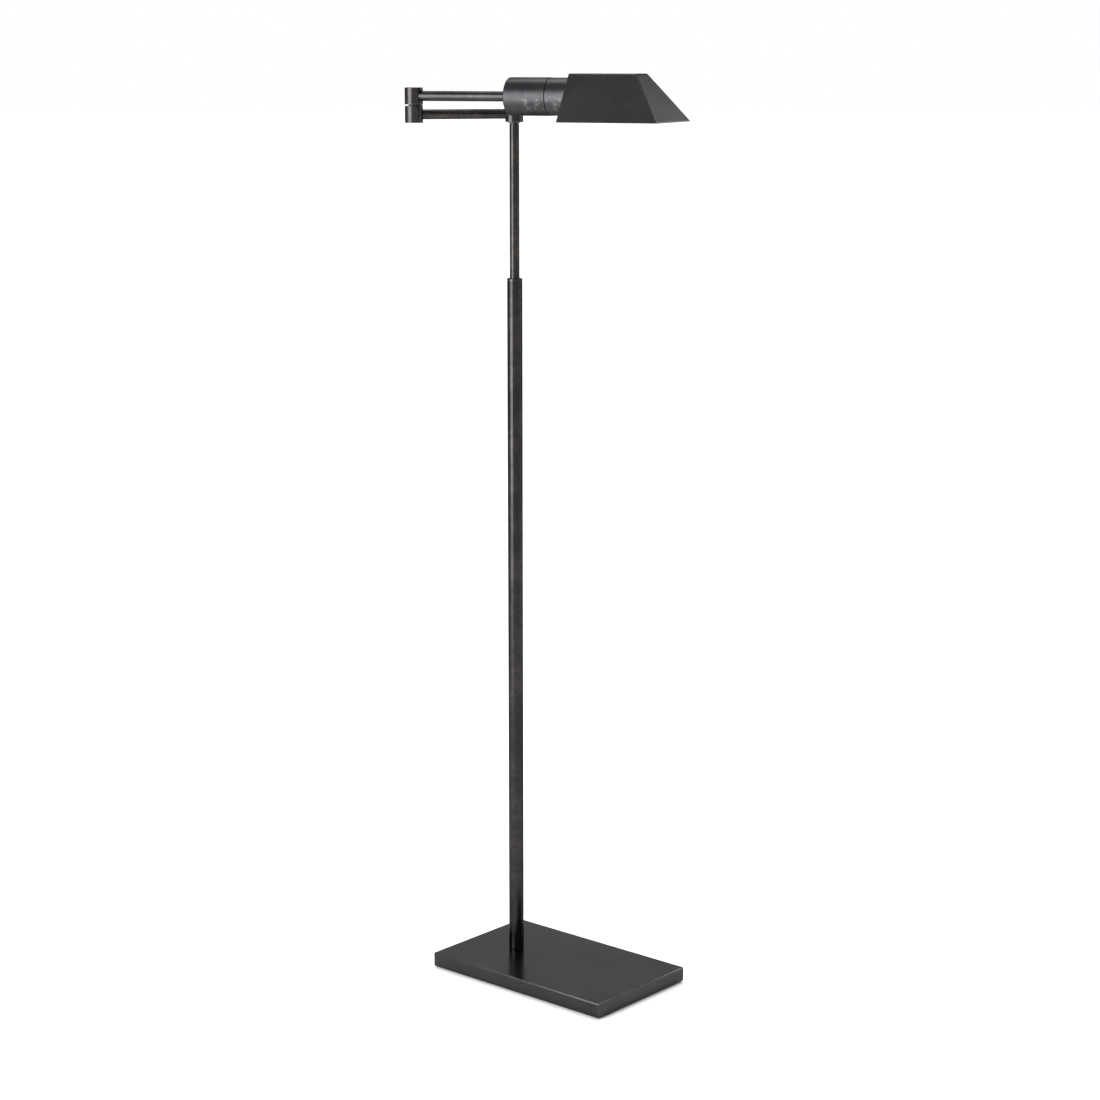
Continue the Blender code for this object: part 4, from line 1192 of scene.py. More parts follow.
@dataclass
class Base(Assembly):
    """The steel plate, the felt under it and the bushing in its rear edge."""

    edge: float = 0.9 * MM
    edge_steps: int = 4
    wear_reach: float = 2.2 * MM
    pocket_radius: float = 16 * MM
    pocket_depth: float = 12 * MM
    bore_radius: float = 5 * MM
    bore_length: float = 58 * MM
    bushing_bore: float = 3.5 * MM
    bushing_flange: float = 6.4 * MM
    flange_thickness: float = 1.5 * MM
    felt_edge: float = 0.45 * MM
    felt_unevenness: float = 0.08 * MM
    felt_cells: tuple[int, int] = (54, 32)
    felt_grains: tuple[float, float] = (160, 190)

    def build(self) -> None:
        """Builds and dresses the three pieces."""
        self.build_plate()
        self.build_felt()
        self.build_bushing()

    def inlet(self, start: float) -> Stand:
        """The axes of the cord's bore: Z runs in from a place on X, at the bushing's height."""
        return Stand(Vector((start, 0, Room.of("cord_bushing").middle.z)), X, Z)

    def build_plate(self) -> None:
        """The thick plate with eased edges, a nut pocket below and a cord bore to the rear."""
        room = Room.of("base_plate")
        form, upright = box_form(*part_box("base_plate")), UPRIGHT.matrix()
        plate = sheeted("plate", form, self.edge, self.edge_steps, self.wear_reach, upright)
        low, way = room.low.z, self.inlet(room.low.x).matrix()
        tools = [
            rod(self.pocket_radius, low - MM, low + self.pocket_depth, upright),
            rod(self.bore_radius, -MM, self.bore_length, way, SMALL_ROUND),
        ]
        self.dress(combined(plate, tools), PLATE_BRONZE, "base", "base_plate")

    def build_felt(self) -> None:
        """The felt lining, cut a little smaller than the plate, with a soft uneven face."""
        room = Room.of("base_felt")
        form = bmesh.new()
        columns, rows = self.felt_cells
        bmesh.ops.create_grid(form, x_segments=columns, y_segments=rows, size=0.5)
        for vertex in form.verts:
            vertex.co.x = room.low.x + room.size.x * (vertex.co.x + 0.5)
            vertex.co.y = room.low.y + room.size.y * (vertex.co.y + 0.5)
        upper = list(form.verts)
        made = bmesh.ops.extrude_face_region(form, geom=list(form.faces))["geom"]
        lower = [item for item in made if isinstance(item, bmesh.types.BMVert)]
        for vertex in upper:
            uneven = self.felt_unevenness * (noise.noise(vertex.co * self.felt_grains[0]) - 1)
            vertex.co.z = room.high.z + uneven - self.thinned(vertex.co, room)
        for vertex in lower:
            uneven = self.felt_unevenness * (noise.noise(vertex.co * self.felt_grains[1]) + 1) / 2
            vertex.co.z = room.low.z + uneven + self.thinned(vertex.co, room)
        bmesh.ops.recalc_face_normals(form, faces=form.faces)
        felt = shaded(formed("felt_lining", form, UPRIGHT.matrix()))
        self.dress(felt, FELT, "base", "base_felt")

    def thinned(self, point: Vector, room: Room) -> float:
        """How much the felt is pinched at a point.

        Args:
            point: the point.
            room: the felt's room.

        Returns:
            The pinch on the cut edge, 0 elsewhere.
        """
        inward, outward = point - room.low, room.high - point
        return self.felt_edge if min(*inward.xy, *outward.xy) < ON_EDGE else 0.0

    def build_bushing(self) -> None:
        """The bushing that the cord would leave through."""
        room = Room.of("cord_bushing")
        body, length = self.bore_radius - FIT, room.size.x
        corners = [
            Corner(self.bushing_bore, 0, 0.6 * MM),
            Corner(self.bushing_flange, 0, 0.5 * MM),
            Corner(self.bushing_flange, self.flange_thickness, 0.2 * MM),
            Corner(body, self.flange_thickness, 0.2 * MM, worn=False),
            Corner(body, length, 0.3 * MM),
            Corner(self.bushing_bore, length, 0.3 * MM),
        ]
        bushing = turned("bushing", corners, self.inlet(room.low.x).matrix(), SMALL_ROUND)
        self.dress(bushing, BLACK_PLASTIC, "base", "cord_bushing")


@dataclass
class Pole(Assembly):
    """The outer tube and the ring collar at its mouth."""

    wall: float = 1.2 * MM
    cut_ease: float = 0.3 * MM
    chamfer: float = 0.6 * MM
    skirt_wall: float = 0.85 * MM

    def build(self) -> None:
        """Builds and dresses the tube and the collar."""
        room = Room.of("pole_tube")
        way = UPRIGHT.matrix(room.low.z)
        tube = pipe("pole", room.radius, self.wall, 0, room.size.z, way, self.cut_ease)
        self.dress(tube, POLE_BRONZE, "base", "pole_tube")
        self.build_collar(room)

    def build_collar(self, tube: Room) -> None:
        """The collar, with its skirt inside the tube.

        Args:
            tube: the tube's room.
        """
        room = Room.of("pole_collar")
        bore = Room.of("guide_bush").radius + FIT
        skirt, seat = bore + self.skirt_wall, tube.high.z + FIT
        corners = [
            Corner(tube.radius - self.chamfer, room.high.z, 0.25 * MM),
            Corner(tube.radius, room.high.z - self.chamfer, 0.3 * MM),
            Corner(tube.radius, seat, 0.2 * MM),
            Corner(skirt, seat),
            Corner(skirt, room.low.z),
            Corner(bore, room.low.z),
            Corner(bore, room.high.z, 0.3 * MM),
        ]
        collar = turned("mouth_collar", corners, UPRIGHT.matrix())
        self.dress(collar, TURNED_BRONZE, "base", "pole_collar")


@dataclass
class Stem(Assembly):
    """The inner tube that slides in the pole."""

    wall: float = 1.0 * MM
    cut_ease: float = 0.3 * MM

    def build(self) -> None:
        """Builds and dresses the tube."""
        room = Room.of("stem_tube")
        way = UPRIGHT.matrix(room.low.z)
        tube = pipe("stem", room.radius, self.wall, 0, room.size.z, way, self.cut_ease)
        self.dress(tube, STEM_BRONZE, "stem", "stem_tube")


# --- Swing arm ----------------------------------------------------------------------------------


@dataclass
class SwingArm(Assembly):
    """The hub on the pole, both arms and the two halves of the elbow with its slotted pin."""

    drum_radius: float = 11 * MM
    drum_height: float = 20 * MM
    drum_ease: float = 0.55 * MM
    pin_radius: float = 4.3 * MM
    pin_bore: float = 2.4 * MM
    arm_radius: float = 6 * MM
    arm_wall: float = 1 * MM
    arm_start: float = 8.5 * MM
    arm_ease: float = 0.25 * MM
    socket_start: float = 8.2 * MM
    hub_recess: tuple[float, float] = (7.9 * MM, 3.6 * MM)
    nut_recess: tuple[float, float] = (7.9 * MM, 3.4 * MM)
    head_recess: tuple[float, float] = (7.6 * MM, 3.6 * MM)
    recess_ease: float = 0.25 * MM
    head_radius: float = 7.2 * MM
    head_thickness: float = 2.9 * MM
    slot_width: float = 1.4 * MM
    slot_depth: float = 1.2 * MM
    elbow_gap: float = 2 * MM
    cap_skirt: float = 7.6 * MM
    cap_skirt_wall: float = 0.5 * MM
    cap_skirt_depth: float = 1.2 * MM
    lug_inner: float = 7.2 * MM
    lug_outer: float = 10.5 * MM
    lug_root: float = 0.4 * MM
    lug_span: float = math.radians(28.5)
    lug_steps: int = 16
    upper_lug_lead: float = math.radians(-14.0)

    def build(self) -> None:
        """Finds the three axes, then builds and dresses every piece."""
        knuckle = Room.of("elbow_pin").middle
        self.half = self.drum_height / 2
        lower = Room.of("pole_hub").middle.z
        upper = lower + self.drum_height + self.elbow_gap
        reach = Vector((knuckle.x, knuckle.y, 0))
        side = reach.normalized()
        self.hub = Stand(Z * lower, Z, side)
        self.elbow = Stand(reach + Z * lower, Z, -side)
        self.upper = Stand(reach + Z * upper, Z, self.bearings.forward)
        self.build_hub()
        self.build_arm("lower_arm", self.hub, reach.length - self.arm_start)
        self.build_elbow_lower()
        self.build_washer()
        self.build_pin()
        self.build_elbow_upper()
        length = (self.bearings.head().origin - self.upper.origin).length - FIT
        self.build_arm("upper_arm", self.upper, length)

    def drum(
        self,
        name: str,
        stand: Stand,
        above: tuple[float, float] | None = None,
        below: tuple[float, float] | None = None,
    ) -> bpy.types.Object:
        """One upright drum, bored for its pin and socketed for its arm.

        Args:
            name: the piece's name.
            stand: its axes, with X along its arm.
            above: radius and depth of the recess above, if it has one.
            below: the same below.

        Returns:
            The drum.
        """
        corners = [
            Corner(self.drum_radius, self.half, self.drum_ease),
            Corner(self.drum_radius, -self.half, self.drum_ease),
            *self.mouth(-1, below),
            *reversed(self.mouth(1, above)),
        ]
        way = stand.leaning(X, Z).matrix()
        socket = rod(self.arm_radius + FIT, self.socket_start, 2 * self.drum_radius, way)
        return combined(turned(name, corners, stand.matrix()), [socket])

    def mouth(self, sign: int, recess: tuple[float, float] | None) -> list[Corner]:
        """The corners from a drum's end in to its pin's bore.

        Args:
            sign: 1 for the upper end, -1 for the lower.
            recess: radius and depth of the recess there, if there is one.

        Returns:
            The corners.
        """
        end = sign * self.half
        if recess is None:
            return [Corner(self.pin_radius, end)]
        radius, depth = recess
        floor = end - sign * depth
        return [
            Corner(radius, end, self.recess_ease),
            Corner(radius, floor),
            Corner(self.pin_radius, floor),
        ]

    def lug(self, stand: Stand, low: float, high: float, centre: float) -> bpy.types.Object:
        """The short arc that stops the elbow, ready to fuse to a drum.

        Args:
            stand: the drum's axes.
            low: its lower height in them.
            high: its upper height.
            centre: the angle of its middle.

        Returns:
            The lug.
        """
        form = bmesh.new()
        section = (
            (self.lug_inner, low),
            (self.lug_outer, low),
            (self.lug_outer, high),
            (self.lug_inner, high),
        )
        rings = []
        for step in range(self.lug_steps + 1):
            angle = centre + self.lug_span * (step / self.lug_steps - 0.5)
            turn = Vector((math.cos(angle), math.sin(angle), 0))
            rings.append([form.verts.new(turn * radius + Z * height) for radius, height in section])
        form.faces.new(rings[0])
        form.faces.new(rings[-1])
        for first, second in zip(rings, rings[1:]):
            for side in range(4):
                after = (side + 1) % 4
                form.faces.new([first[side], first[after], second[after], second[side]])
        bmesh.ops.recalc_face_normals(form, faces=form.faces)
        return formed("lug", form, stand.matrix())

    def build_hub(self) -> None:
        """The hub drum that turns on the pole, and its cap."""
        hub = self.drum("hub", self.hub, above=self.hub_recess)
        self.dress(hub, TURNED_BRONZE, "lower_arm", "pole_hub")
        room = Room.of("hub_cap")
        top = room.high.z - self.hub.origin.z
        underside = self.half + FIT
        skirt_end = self.half - self.cap_skirt_depth
        skirt_bore = self.cap_skirt - self.cap_skirt_wall
        corners = [
            Corner(0, top),
            Corner(room.radius, top, 0.6 * MM),
            Corner(room.radius, underside, 0.2 * MM),
            Corner(self.cap_skirt, underside),
            Corner(self.cap_skirt, skirt_end),
            Corner(skirt_bore, skirt_end),
            Corner(skirt_bore, underside),
            Corner(0, underside),
        ]
        cap = turned("hub_lid", corners, self.hub.matrix(), closed=False)
        self.dress(cap, TURNED_BRONZE, "lower_arm", "hub_cap")

    def build_arm(self, body: str, stand: Stand, end: float) -> None:
        """One arm tube.

        Args:
            body: the arm's body and the root of its names.
            stand: the axes of the drum that it leaves.
            end: how far from the drum's axis it ends.
        """
        way = stand.leaning(X, Z).matrix()
        tube = pipe(
            f"{body}_pipe", self.arm_radius, self.arm_wall, self.arm_start, end, way, self.arm_ease
        )
        self.dress(tube, ARM_BRONZES[body], body, f"{body}_tube")

    def build_elbow_lower(self) -> None:
        """The lower half of the elbow, with its stop lug."""
        drum = self.drum("elbow_lower", self.elbow, below=self.nut_recess)
        top = self.half + self.elbow_gap - FIT
        combined(drum, [self.lug(self.elbow, self.half - self.lug_root, top, 0)], "UNION")
        self.dress(drum, TURNED_BRONZE, "lower_arm", "elbow_lower_drum")

    def build_washer(self) -> None:
        """The washer in the elbow's gap."""
        room = Room.of("elbow_washer")
        at = self.elbow.origin.xy.to_3d() + Z * room.low.z
        corners = [
            Corner(room.radius, room.size.z, 0.3 * MM),
            Corner(room.radius, 0, 0.3 * MM),
            Corner(self.pin_radius, 0),
            Corner(self.pin_radius, room.size.z),
        ]
        way = Stand(at, self.elbow.along, self.elbow.side).matrix()
        self.dress(turned("elbow_spacer", corners, way), BLACK_PLASTIC, "lower_arm", "elbow_washer")

    def build_pin(self) -> None:
        """The elbow pin, with a screwdriver slot across its head."""
        room = Room.of("elbow_pin")
        head, foot = room.high.z - self.elbow.origin.z, room.low.z - self.elbow.origin.z
        shank, under = self.pin_radius - FIT, head - self.head_thickness
        corners = [
            Corner(0, head),
            Corner(self.head_radius, head, 0.6 * MM),
            Corner(self.head_radius, under, 0.2 * MM),
            Corner(shank, under),
            Corner(shank, foot, 0.3 * MM),
            Corner(self.pin_bore, foot),
            Corner(self.pin_bore, under),
            Corner(0, under),
        ]
        place = self.elbow.matrix()
        half, past = self.slot_width / 2, self.head_radius + MM
        slot = box_tool((-past, -half, head - self.slot_depth), (past, half, head + MM), place)
        pin = combined(turned("elbow_bolt", corners, place, closed=False), [slot])
        self.dress(pin, TURNED_BRONZE, "lower_arm", "elbow_pin")

    def build_elbow_upper(self) -> None:
        """The upper half of the elbow, with its own stop lug."""
        drum = self.drum("elbow_upper", self.upper, above=self.head_recess)
        low, high = -self.half - self.elbow_gap + FIT, -self.half + self.lug_root
        combined(drum, [self.lug(self.upper, low, high, self.upper_lug_lead)], "UNION")
        self.dress(drum, TURNED_BRONZE, "upper_arm", "elbow_upper_drum")


# --- Head ---------------------------------------------------------------------------------------


@dataclass
class Head(Assembly):
    """The socket housing with its stop screw, and the lamp socket in it."""

    radius: float = 22.5 * MM
    wall: float = 1.2 * MM
    rear_wall: float = 2 * MM
    length: float = 52.6 * MM
    rear_ease: float = 2 * MM
    rear_hole: float = 5 * MM
    dimmer_hole: float = 3.8 * MM
    dimmer_hole_start: float = 10 * MM
    stop_station: float = 44.1 * MM
    stop_radius: float = 1.3 * MM
    stop_start: float = 19.9 * MM
    stop_hole_start: float = 18 * MM
    stop_depth: float = 0.35 * MM
    slot_depth: float = 0.7 * MM
    slot_width: float = 0.5 * MM
    socket_radius: float = 16.3 * MM
    socket_start: float = 30.6 * MM
    socket_end: float = 76.6 * MM
    cavity_radius: float = 14.3 * MM
    cavity_start: float = 42.6 * MM
    wire_hole: float = 3 * MM
    shell_radius: float = 14 * MM
    shell_wall: float = 0.6 * MM
    shell_start: float = 45.3 * MM
    shell_ease: float = 0.2 * MM

    def build(self) -> None:
        """Builds and dresses every piece of the head."""
        self.stand = self.bearings.head()
        self.build_housing()
        self.build_stop_screw()
        self.build_socket()

    def build_housing(self) -> None:
        """The drawn cup, pierced for the dimmer and the stop screw."""
        bore, past = self.radius - self.wall, 2 * self.radius
        corners = [
            Corner(self.radius, self.length, 0.35 * MM),
            Corner(self.radius, 0, self.rear_ease),
            Corner(self.rear_hole, 0),
            Corner(self.rear_hole, self.rear_wall),
            Corner(bore, self.rear_wall, 0.8 * MM, worn=False),
            Corner(bore, self.length, 0.3 * MM, worn=False),
        ]
        side = self.stand.leaning(Y, X, DIMMER_STATION).matrix()
        down = self.stand.leaning(X, Z, self.stop_station).matrix()
        tools = [
            rod(self.dimmer_hole, self.dimmer_hole_start, past, side, SMALL_ROUND),
            rod(self.stop_radius + FIT, self.stop_hole_start, past, down, SMALL_ROUND),
        ]
        housing = combined(turned("housing", corners, self.stand.matrix()), tools)
        self.dress(housing, HOUSING_BRONZE, "upper_arm", "socket_housing")

    def build_stop_screw(self) -> None:
        """The slotted grub screw, flush under the housing."""
        start, end = self.stop_start, self.radius - self.stop_depth
        place = self.stand.leaning(X, Z, self.stop_station).matrix()
        corners = [
            Corner(0, start),
            Corner(self.stop_radius, start, 0.2 * MM),
            Corner(self.stop_radius, end, 0.2 * MM),
            Corner(0, end),
        ]
        screw = turned("stop_screw", corners, place, SMALL_ROUND, closed=False)
        half, past = self.slot_width / 2, 2 * MM
        slot = box_tool((-past, -half, end - self.slot_depth), (past, half, end + MM), place)
        self.dress(combined(screw, [slot]), PLATED_STEEL, "upper_arm", "swivel_stop_screw")

    def build_socket(self) -> None:
        """The porcelain body and the rolled screw shell in it."""
        place = self.stand.matrix()
        corners = [
            Corner(self.socket_radius, self.socket_end, 0.6 * MM),
            Corner(self.socket_radius, self.socket_start, 0.8 * MM),
            Corner(self.wire_hole, self.socket_start, 0.5 * MM),
            Corner(self.wire_hole, self.cavity_start),
            Corner(self.cavity_radius, self.cavity_start, 0.5 * MM, worn=False),
            Corner(self.cavity_radius, self.socket_end, 0.6 * MM),
        ]
        socket = turned("socket_porcelain", corners, place)
        self.dress(socket, PORCELAIN, "upper_arm", "socket_body")
        end = self.socket_end - FIT
        shell = pipe(
            "screw_shell", self.shell_radius, self.shell_wall, self.shell_start, end, place,
            self.shell_ease,
        )
        self.dress(shell, BRASS, "upper_arm", "socket_screw_shell")


@dataclass
class Bulb(Assembly):
    """A short frosted tube bulb with a screw cap."""

    radius: float = 15 * MM
    neck: float = 12 * MM
    wall: float = 0.8 * MM
    start: float = 72.3 * MM
    length: float = 92 * MM
    shoulder: float = 14 * MM
    shoulder_steps: int = 12
    dome_step: int = 6
    cap_radius: float = 12.7 * MM
    cap_relief: float = 0.02 * MM
    thread_depth: float = 0.5 * MM
    pitch: float = 3.6 * MM
    pitch_steps: int = 8
    cap_start: float = 49 * MM
    cap_length: float = 23 * MM

    def build(self) -> None:
        """Builds and dresses the glass and the cap."""
        place = self.bearings.head().matrix()
        corners = self.outline(0) + list(reversed(self.outline(self.wall)))
        glass = turned("bulb_envelope", corners, place, closed=False)
        self.dress(glass, FROSTED_GLASS, "upper_arm", "bulb_glass")
        end = self.cap_start + self.cap_length
        inner = self.cap_radius - self.thread_depth - self.wall
        thread = [*self.thread(end), Corner(inner, self.cap_start), Corner(inner, end)]
        self.dress(turned("bulb_screw_cap", thread, place), ALUMINIUM, "upper_arm", "bulb_cap")

    def outline(self, inset: float) -> list[Corner]:
        """The glass's outline from its top down to the neck.

        Args:
            inset: how far inside the outer face it runs.

        Returns:
            Its points.
        """
        centre = self.start + self.length - self.radius
        ball = self.radius - inset
        points = []
        for degrees in range(0, 91, self.dome_step):
            angle = math.radians(degrees)
            points.append(Corner(ball * math.sin(angle), centre + ball * math.cos(angle)))
        for step in range(self.shoulder_steps, -1, -1):
            share = step / self.shoulder_steps
            ease = share * share * (3 - 2 * share)
            radius = self.neck + (self.radius - self.neck) * ease - inset
            points.append(Corner(radius, self.start + self.shoulder * share))
        return points

    def thread(self, end: float) -> list[Corner]:
        """The cap's rolled thread, from its mouth to its foot.

        Args:
            end: the station of the mouth.

        Returns:
            Its points.
        """
        steps = int(self.cap_length / self.pitch * self.pitch_steps)
        points = []
        for step in range(steps + 1):
            along = end - step * self.cap_length / steps
            wave = 0.5 - 0.5 * math.cos(math.tau * (end - along) / self.pitch)
            edge = max(min(1.0, (end - along) / MM, (along - self.cap_start) / MM), 0)
            sunk = self.thread_depth * (1 - wave * edge) + self.cap_relief
            points.append(Corner(self.cap_radius - sunk, along))
        return points


@dataclass
class Dimmer(Assembly):
    """The ring nut on the housing's far side and the knurled knob that turns in it."""

    nut: NotchedNut = NotchedNut(
        radius=6 * MM, bore=3.8 * MM, start=22.8 * MM, thickness=2 * MM,
        eases=(0.35 * MM, 0.2 * MM, 0.25 * MM), notches=8, notch_depth=0.7 * MM,
        notch_width=1.2 * MM,
    )
    knob_radius: float = 7.5 * MM
    knob_start: float = 26.2 * MM
    knob_length: float = 12 * MM
    rear_band: float = 1.2 * MM
    front_band: float = 1.4 * MM
    rear_cut: float = 1.21 * MM
    front_cut: float = 1.41 * MM
    knurls: int = 48
    knurl_depth: float = 0.32 * MM
    dish_depth: float = 0.35 * MM
    dish_edge: float = 2.2 * MM
    dish_rim: float = 1.7 * MM
    skirt_wall: float = 1.6 * MM
    skirt_depth: float = 1.5 * MM
    shaft_hole: float = 2.1 * MM
    shaft_depth: float = 9.3 * MM
    mark_width: float = 0.7 * MM
    mark_depth: float = 0.9 * MM
    mark_inner: float = 2.2 * MM

    def build(self) -> None:
        """Builds and dresses the nut and the knob."""
        place = self.bearings.head().leaning(Y, X, DIMMER_STATION).matrix()
        nut = self.nut.cut("dimmer_nut", place)
        self.dress(nut, TURNED_BRONZE, "upper_arm", "dimmer_ring_nut")
        self.build_knob(place)

    def knurl(self, angle: float, along: float) -> float:
        """How far the knurling cuts in at one point of the knob.

        Args:
            angle: the point's angle.
            along: its station.

        Returns:
            What to add to the radius.
        """
        end = self.knob_start + self.knob_length
        if self.knob_start + self.rear_band < along < end - self.front_band:
            return -self.knurl_depth * (0.5 - 0.5 * math.cos(self.knurls * angle))
        return 0.0

    def build_knob(self, place: Matrix) -> None:
        """The knob: knurled between two plain bands, dished in front, with a pointer groove.

        Args:
            place: the shaft's axes.
        """
        start, end = self.knob_start, self.knob_start + self.knob_length
        rim, skirt = self.knob_radius, self.knob_radius - self.skirt_wall
        corners = [
            Corner(0, end - self.dish_depth),
            Corner(rim - self.dish_edge, end - self.dish_depth, 0.3 * MM, worn=False),
            Corner(rim - self.dish_rim, end, 0.2 * MM),
            Corner(rim, end, 0.8 * MM),
            Corner(rim, end - self.front_band),
            Corner(rim, end - self.front_cut),
            Corner(rim, start + self.rear_cut),
            Corner(rim, start + self.rear_band),
            Corner(rim, start, 0.4 * MM),
            Corner(skirt, start, 0.2 * MM),
            Corner(skirt, start + self.skirt_depth),
            Corner(self.shaft_hole, start + self.skirt_depth),
            Corner(self.shaft_hole, start + self.shaft_depth),
            Corner(0, start + self.shaft_depth),
        ]
        sides = self.knurls * 6
        knob = turned("knob", corners, place, sides, closed=False, ripple=self.knurl)
        half = self.mark_width / 2
        low, high = (-rim - MM, -half, end - self.mark_depth), (-self.mark_inner, half, end + MM)
        knob = combined(knob, [box_tool(low, high, place)])
        self.dress(knob, KNOB_BRONZE, "dimmer_knob", "dimmer_knob")


@dataclass
class Shade(Assembly):
    """The swivel collar, the folded sheet shade and the ring nut that clamps it."""

    collar_radius: float = 22.2 * MM
    collar_start: float = 53.1 * MM
    collar_end: float = 82.4 * MM
    spigot_radius: float = 20.9 * MM
    spigot_start: float = 36.1 * MM
    bore: float = 18.3 * MM
    neck_radius: float = 19.7 * MM
    neck_end: float = 90.0 * MM
    sheet: float = 1.0 * MM
    start: float = 82.7 * MM
    front: float = 206.7 * MM
    slope: float = 40 * MM
    top: float = -27 * MM
    rim: float = 28 * MM
    half_width: float = 59 * MM
    fold: float = 1.2 * MM
    fold_steps: int = 5
    wear_reach: float = 2.0 * MM
    rim_ease: float = 0.22 * MM
    rim_angle: float = math.radians(55)
    hole: float = 20.0 * MM
    nut: NotchedNut = NotchedNut(
        radius=24 * MM, bore=20 * MM, start=84 * MM, thickness=4 * MM,
        eases=(0.5 * MM, 0.3 * MM, 0.3 * MM), notches=6, notch_depth=1.4 * MM,
        notch_width=3 * MM, phase=0.5,
    )

    def build(self) -> None:
        """Builds and dresses every piece that rolls with the shade."""
        self.place = self.bearings.head().matrix()
        self.build_collar()
        self.build_sheet()
        nut = self.nut.cut("ring_nut", self.place)
        self.dress(nut, TURNED_BRONZE, "shade", "shade_ring_nut")

    def build_collar(self) -> None:
        """The collar behind the seam, with its spigot in the housing and its neck in the shade."""
        corners = [
            Corner(self.neck_radius, self.neck_end, 0.3 * MM),
            Corner(self.neck_radius, self.collar_end),
            Corner(self.collar_radius, self.collar_end, 0.5 * MM),
            Corner(self.collar_radius, self.collar_start, 0.45 * MM),
            Corner(self.spigot_radius, self.collar_start),
            Corner(self.spigot_radius, self.spigot_start, 0.4 * MM),
            Corner(self.bore, self.spigot_start, 0.4 * MM),
            Corner(self.bore, self.neck_end, 0.3 * MM),
        ]
        collar = turned("roll_collar", corners, self.place)
        self.dress(collar, COLLAR_BRONZE, "shade", "swivel_collar")

    def build_sheet(self) -> None:
        """The folded sheet: upright at the rear, sloped on the other three sides, open below."""
        form = box_form(
            (self.top, -self.half_width, self.start), (self.rim, self.half_width, self.front)
        )
        for vertex in form.verts:
            if vertex.co.x > 0:
                continue
            vertex.co.y -= math.copysign(self.slope, vertex.co.y)
            if vertex.co.z > (self.start + self.front) / 2:
                vertex.co.z -= self.slope
        form.normal_update()
        mouth = [face for face in form.faces if face.normal.x > UPRIGHT_SHARE]
        bmesh.ops.delete(form, geom=mouth, context="FACES_ONLY")
        shell = sheeted(
            "shade_sheet", form, self.fold, self.fold_steps, self.wear_reach, self.place
        )
        thick = shell.modifiers.new("thickness", "SOLIDIFY")
        thick.thickness = self.sheet
        thick.offset = -1
        thick.use_even_offset = True
        thick.material_offset = 1
        rim = shell.modifiers.new("rim", "BEVEL")
        rim.width = self.rim_ease
        rim.segments = 2
        rim.limit_method = "ANGLE"
        rim.angle_limit = self.rim_angle
        for finish in (SHEET_BRONZE, WhiteEnamel()):
            shell.data.materials.append(mixed(finish))
        settled(shell)
        past = 5 * MM
        combined(shell, [rod(self.hole, self.start - past, self.start + past, self.place)])
        shell.data.transform(self.place)
        shell.matrix_world = Matrix.Identity(4)
        self.dress(shell, SHEET_BRONZE, "shade", "shade")


def dress_kept(nodes: Mapping[str, bpy.types.Object], slots: Mapping[str, str]) -> None:
    """Gives the frame's own nodes that still show real finishes in place of plain ones.

    Args:
        nodes: every node of the frame.
        slots: each node's material slot.
    """
    for name, node in sorted(nodes.items()):
        if node.hide_render:
            continue
        for number in range(len(node.data.materials)):
            node.data.materials[number] = mixed(SLOT_FINISHES[slots[name]])
        LOG.info("kept: %s in %s", name, slots[name])


# --- Studio -------------------------------------------------------------------------------------


def pointing(heading: float, rise: float) -> Vector:
    """The direction at a heading round from +X and a rise above the floor."""
    flat = math.cos(rise)
    return Vector((flat * math.cos(heading), flat * math.sin(heading), math.sin(rise)))


@dataclass(frozen=True)
class Panel:
    """One soft light: where it stands, how big it is and what it gives."""

    name: str
    at: Colour
    aim: Colour
    width: float
    height: float
    watts: float
    tint: Colour = (1.0, 1.0, 1.0)

    def hang(self) -> None:
        """Puts the light in the studio, out of the camera's sight."""
        light = bpy.data.lights.new(self.name, "AREA")
        light.shape = "RECTANGLE"
        light.size, light.size_y = self.width, self.height
        light.energy, light.color = self.watts, self.tint
        made = entered(self.name, light)
        made.location = self.at
        away = Vector(self.aim) - Vector(self.at)
        made.rotation_euler = away.to_track_quat("-Z", "Y").to_euler()
        made.visible_camera = False


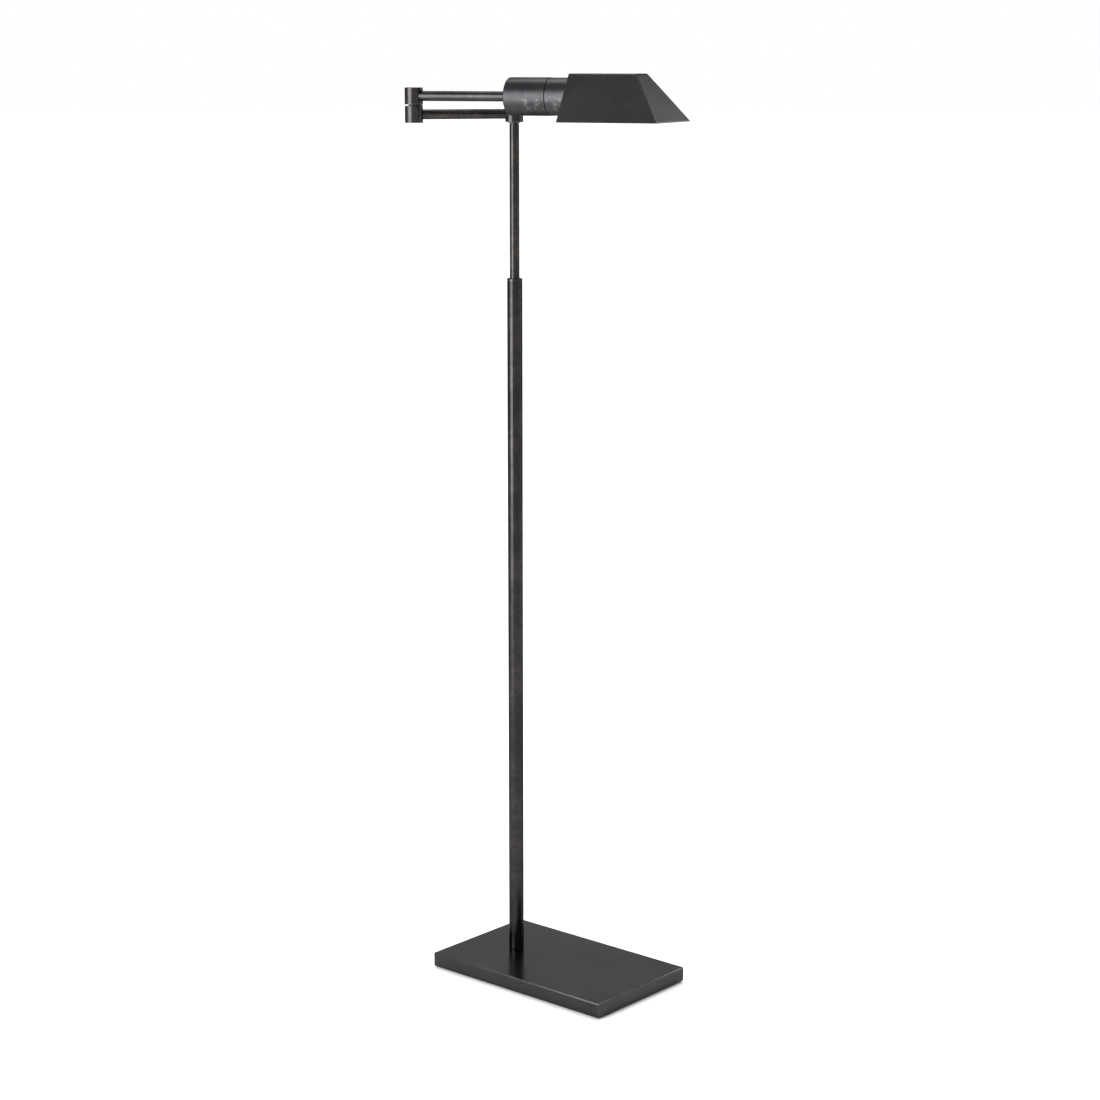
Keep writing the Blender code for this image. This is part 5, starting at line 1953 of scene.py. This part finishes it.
@dataclass
class Studio:
    """The pale floor, the soft light and the camera."""

    floor_radius: float = 60.0
    floor_sides: int = 128
    sky_low: float = 0.52
    sky_high: float = 0.70
    haze_top: float = 0.045
    haze_fade: float = 0.06
    sky_top: float = 0.8
    sun_strength: float = 2.9
    sun_spread: float = math.radians(40)
    sun_rise: float = math.radians(58)
    sun_heading: float = math.radians(138)
    camera_at: Colour = (2.0406, -2.2972, 1.158)
    camera_heading: float = math.radians(130.80)
    camera_dip: float = math.radians(11.223)
    lens: float = 81.05
    far_limit: float = 200.0
    panels: tuple[Panel, ...] = (
        Panel("left_panel", (-0.6, -2.65, 1.0), (0, 0, 0.7), 1.8, 2.6, 135),
        Panel("right_rear_panel", (0.5, 3.6, 1.9), (0.1, 0, 1.0), 1.6, 1.6, 95, (1.0, 0.985, 0.95)),
        Panel("right_warm_panel", (2.6, 2.4, 1.0), (0, 0, 0.7), 0.7, 2.0, 9, (1.0, 0.84, 0.72)),
    )

    def build(self) -> None:
        """Lays the floor, lights the studio and sets up the camera."""
        self.lay_floor()
        self.open_sky()
        self.light()
        self.place_camera()
        bpy.context.scene.view_settings.view_transform = "Standard"

    def lay_floor(self) -> None:
        """A wide round floor of pale paper."""
        form = bmesh.new()
        bmesh.ops.create_circle(
            form, cap_ends=True, segments=self.floor_sides, radius=self.floor_radius
        )
        floor = formed("studio_floor", form, UPRIGHT.matrix())
        floor.data.materials.append(mixed(StudioPaper()))
        LOG.info("studio: floor")

    def open_sky(self) -> None:
        """An even sky that pales to white at the horizon."""
        world = bpy.data.worlds.new("studio_sky")
        world.use_nodes = True
        tree = world.node_tree
        place, split, ramp = (
            tree.nodes.new(kind)
            for kind in ("ShaderNodeTexCoord", "ShaderNodeSeparateXYZ", "ShaderNodeValToRGB")
        )
        horizon, top = ramp.color_ramp.elements
        horizon.position, horizon.color = self.haze_top, (1, 1, 1, 1)
        top.position, top.color = self.sky_top, (self.sky_high, self.sky_high, self.sky_high, 1)
        low = ramp.color_ramp.elements.new(self.haze_top + self.haze_fade)
        low.color = (self.sky_low, self.sky_low, self.sky_low, 1)
        tree.links.new(place.outputs["Generated"], split.inputs[0])
        tree.links.new(split.outputs["Z"], ramp.inputs[0])
        tree.links.new(ramp.outputs[0], tree.nodes["Background"].inputs[0])
        bpy.context.scene.world = world

    def light(self) -> None:
        """A wide soft sun and the panels."""
        light = bpy.data.lights.new("soft_sun", "SUN")
        light.energy, light.angle = self.sun_strength, self.sun_spread
        toward = pointing(self.sun_heading, self.sun_rise)
        entered("soft_sun", light).rotation_euler = toward.to_track_quat("Z", "Y").to_euler()
        for panel in self.panels:
            panel.hang()
        LOG.info("studio: sky, sun and %d panels", len(self.panels))

    def place_camera(self) -> None:
        """The camera, level from side to side."""
        data = bpy.data.cameras.new("studio_camera")
        data.lens, data.sensor_width, data.clip_end = self.lens, 36.0, self.far_limit
        camera = entered("studio_camera", data)
        camera.location = self.camera_at
        look = pointing(self.camera_heading, -self.camera_dip)
        camera.rotation_euler = look.to_track_quat("-Z", "Y").to_euler()
        bpy.context.scene.camera = camera
        LOG.info("studio: camera")


def main() -> None:
    """Loads the frame, builds every class in order and reports each piece."""
    logging.basicConfig(level=logging.INFO, format="%(name)s: %(message)s")
    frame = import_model()
    bearings = Bearings.read(frame["joints"])
    for assembly in (Base, Pole, Stem, SwingArm, Head, Bulb, Dimmer, Shade):
        assembly(bearings).report()
    slots = {row["node"]: row["material_slot"] for row in frame["record"]["subparts"]}
    dress_kept(frame["nodes"], slots)
    Studio().build()


if __name__ == "__main__":
    main()
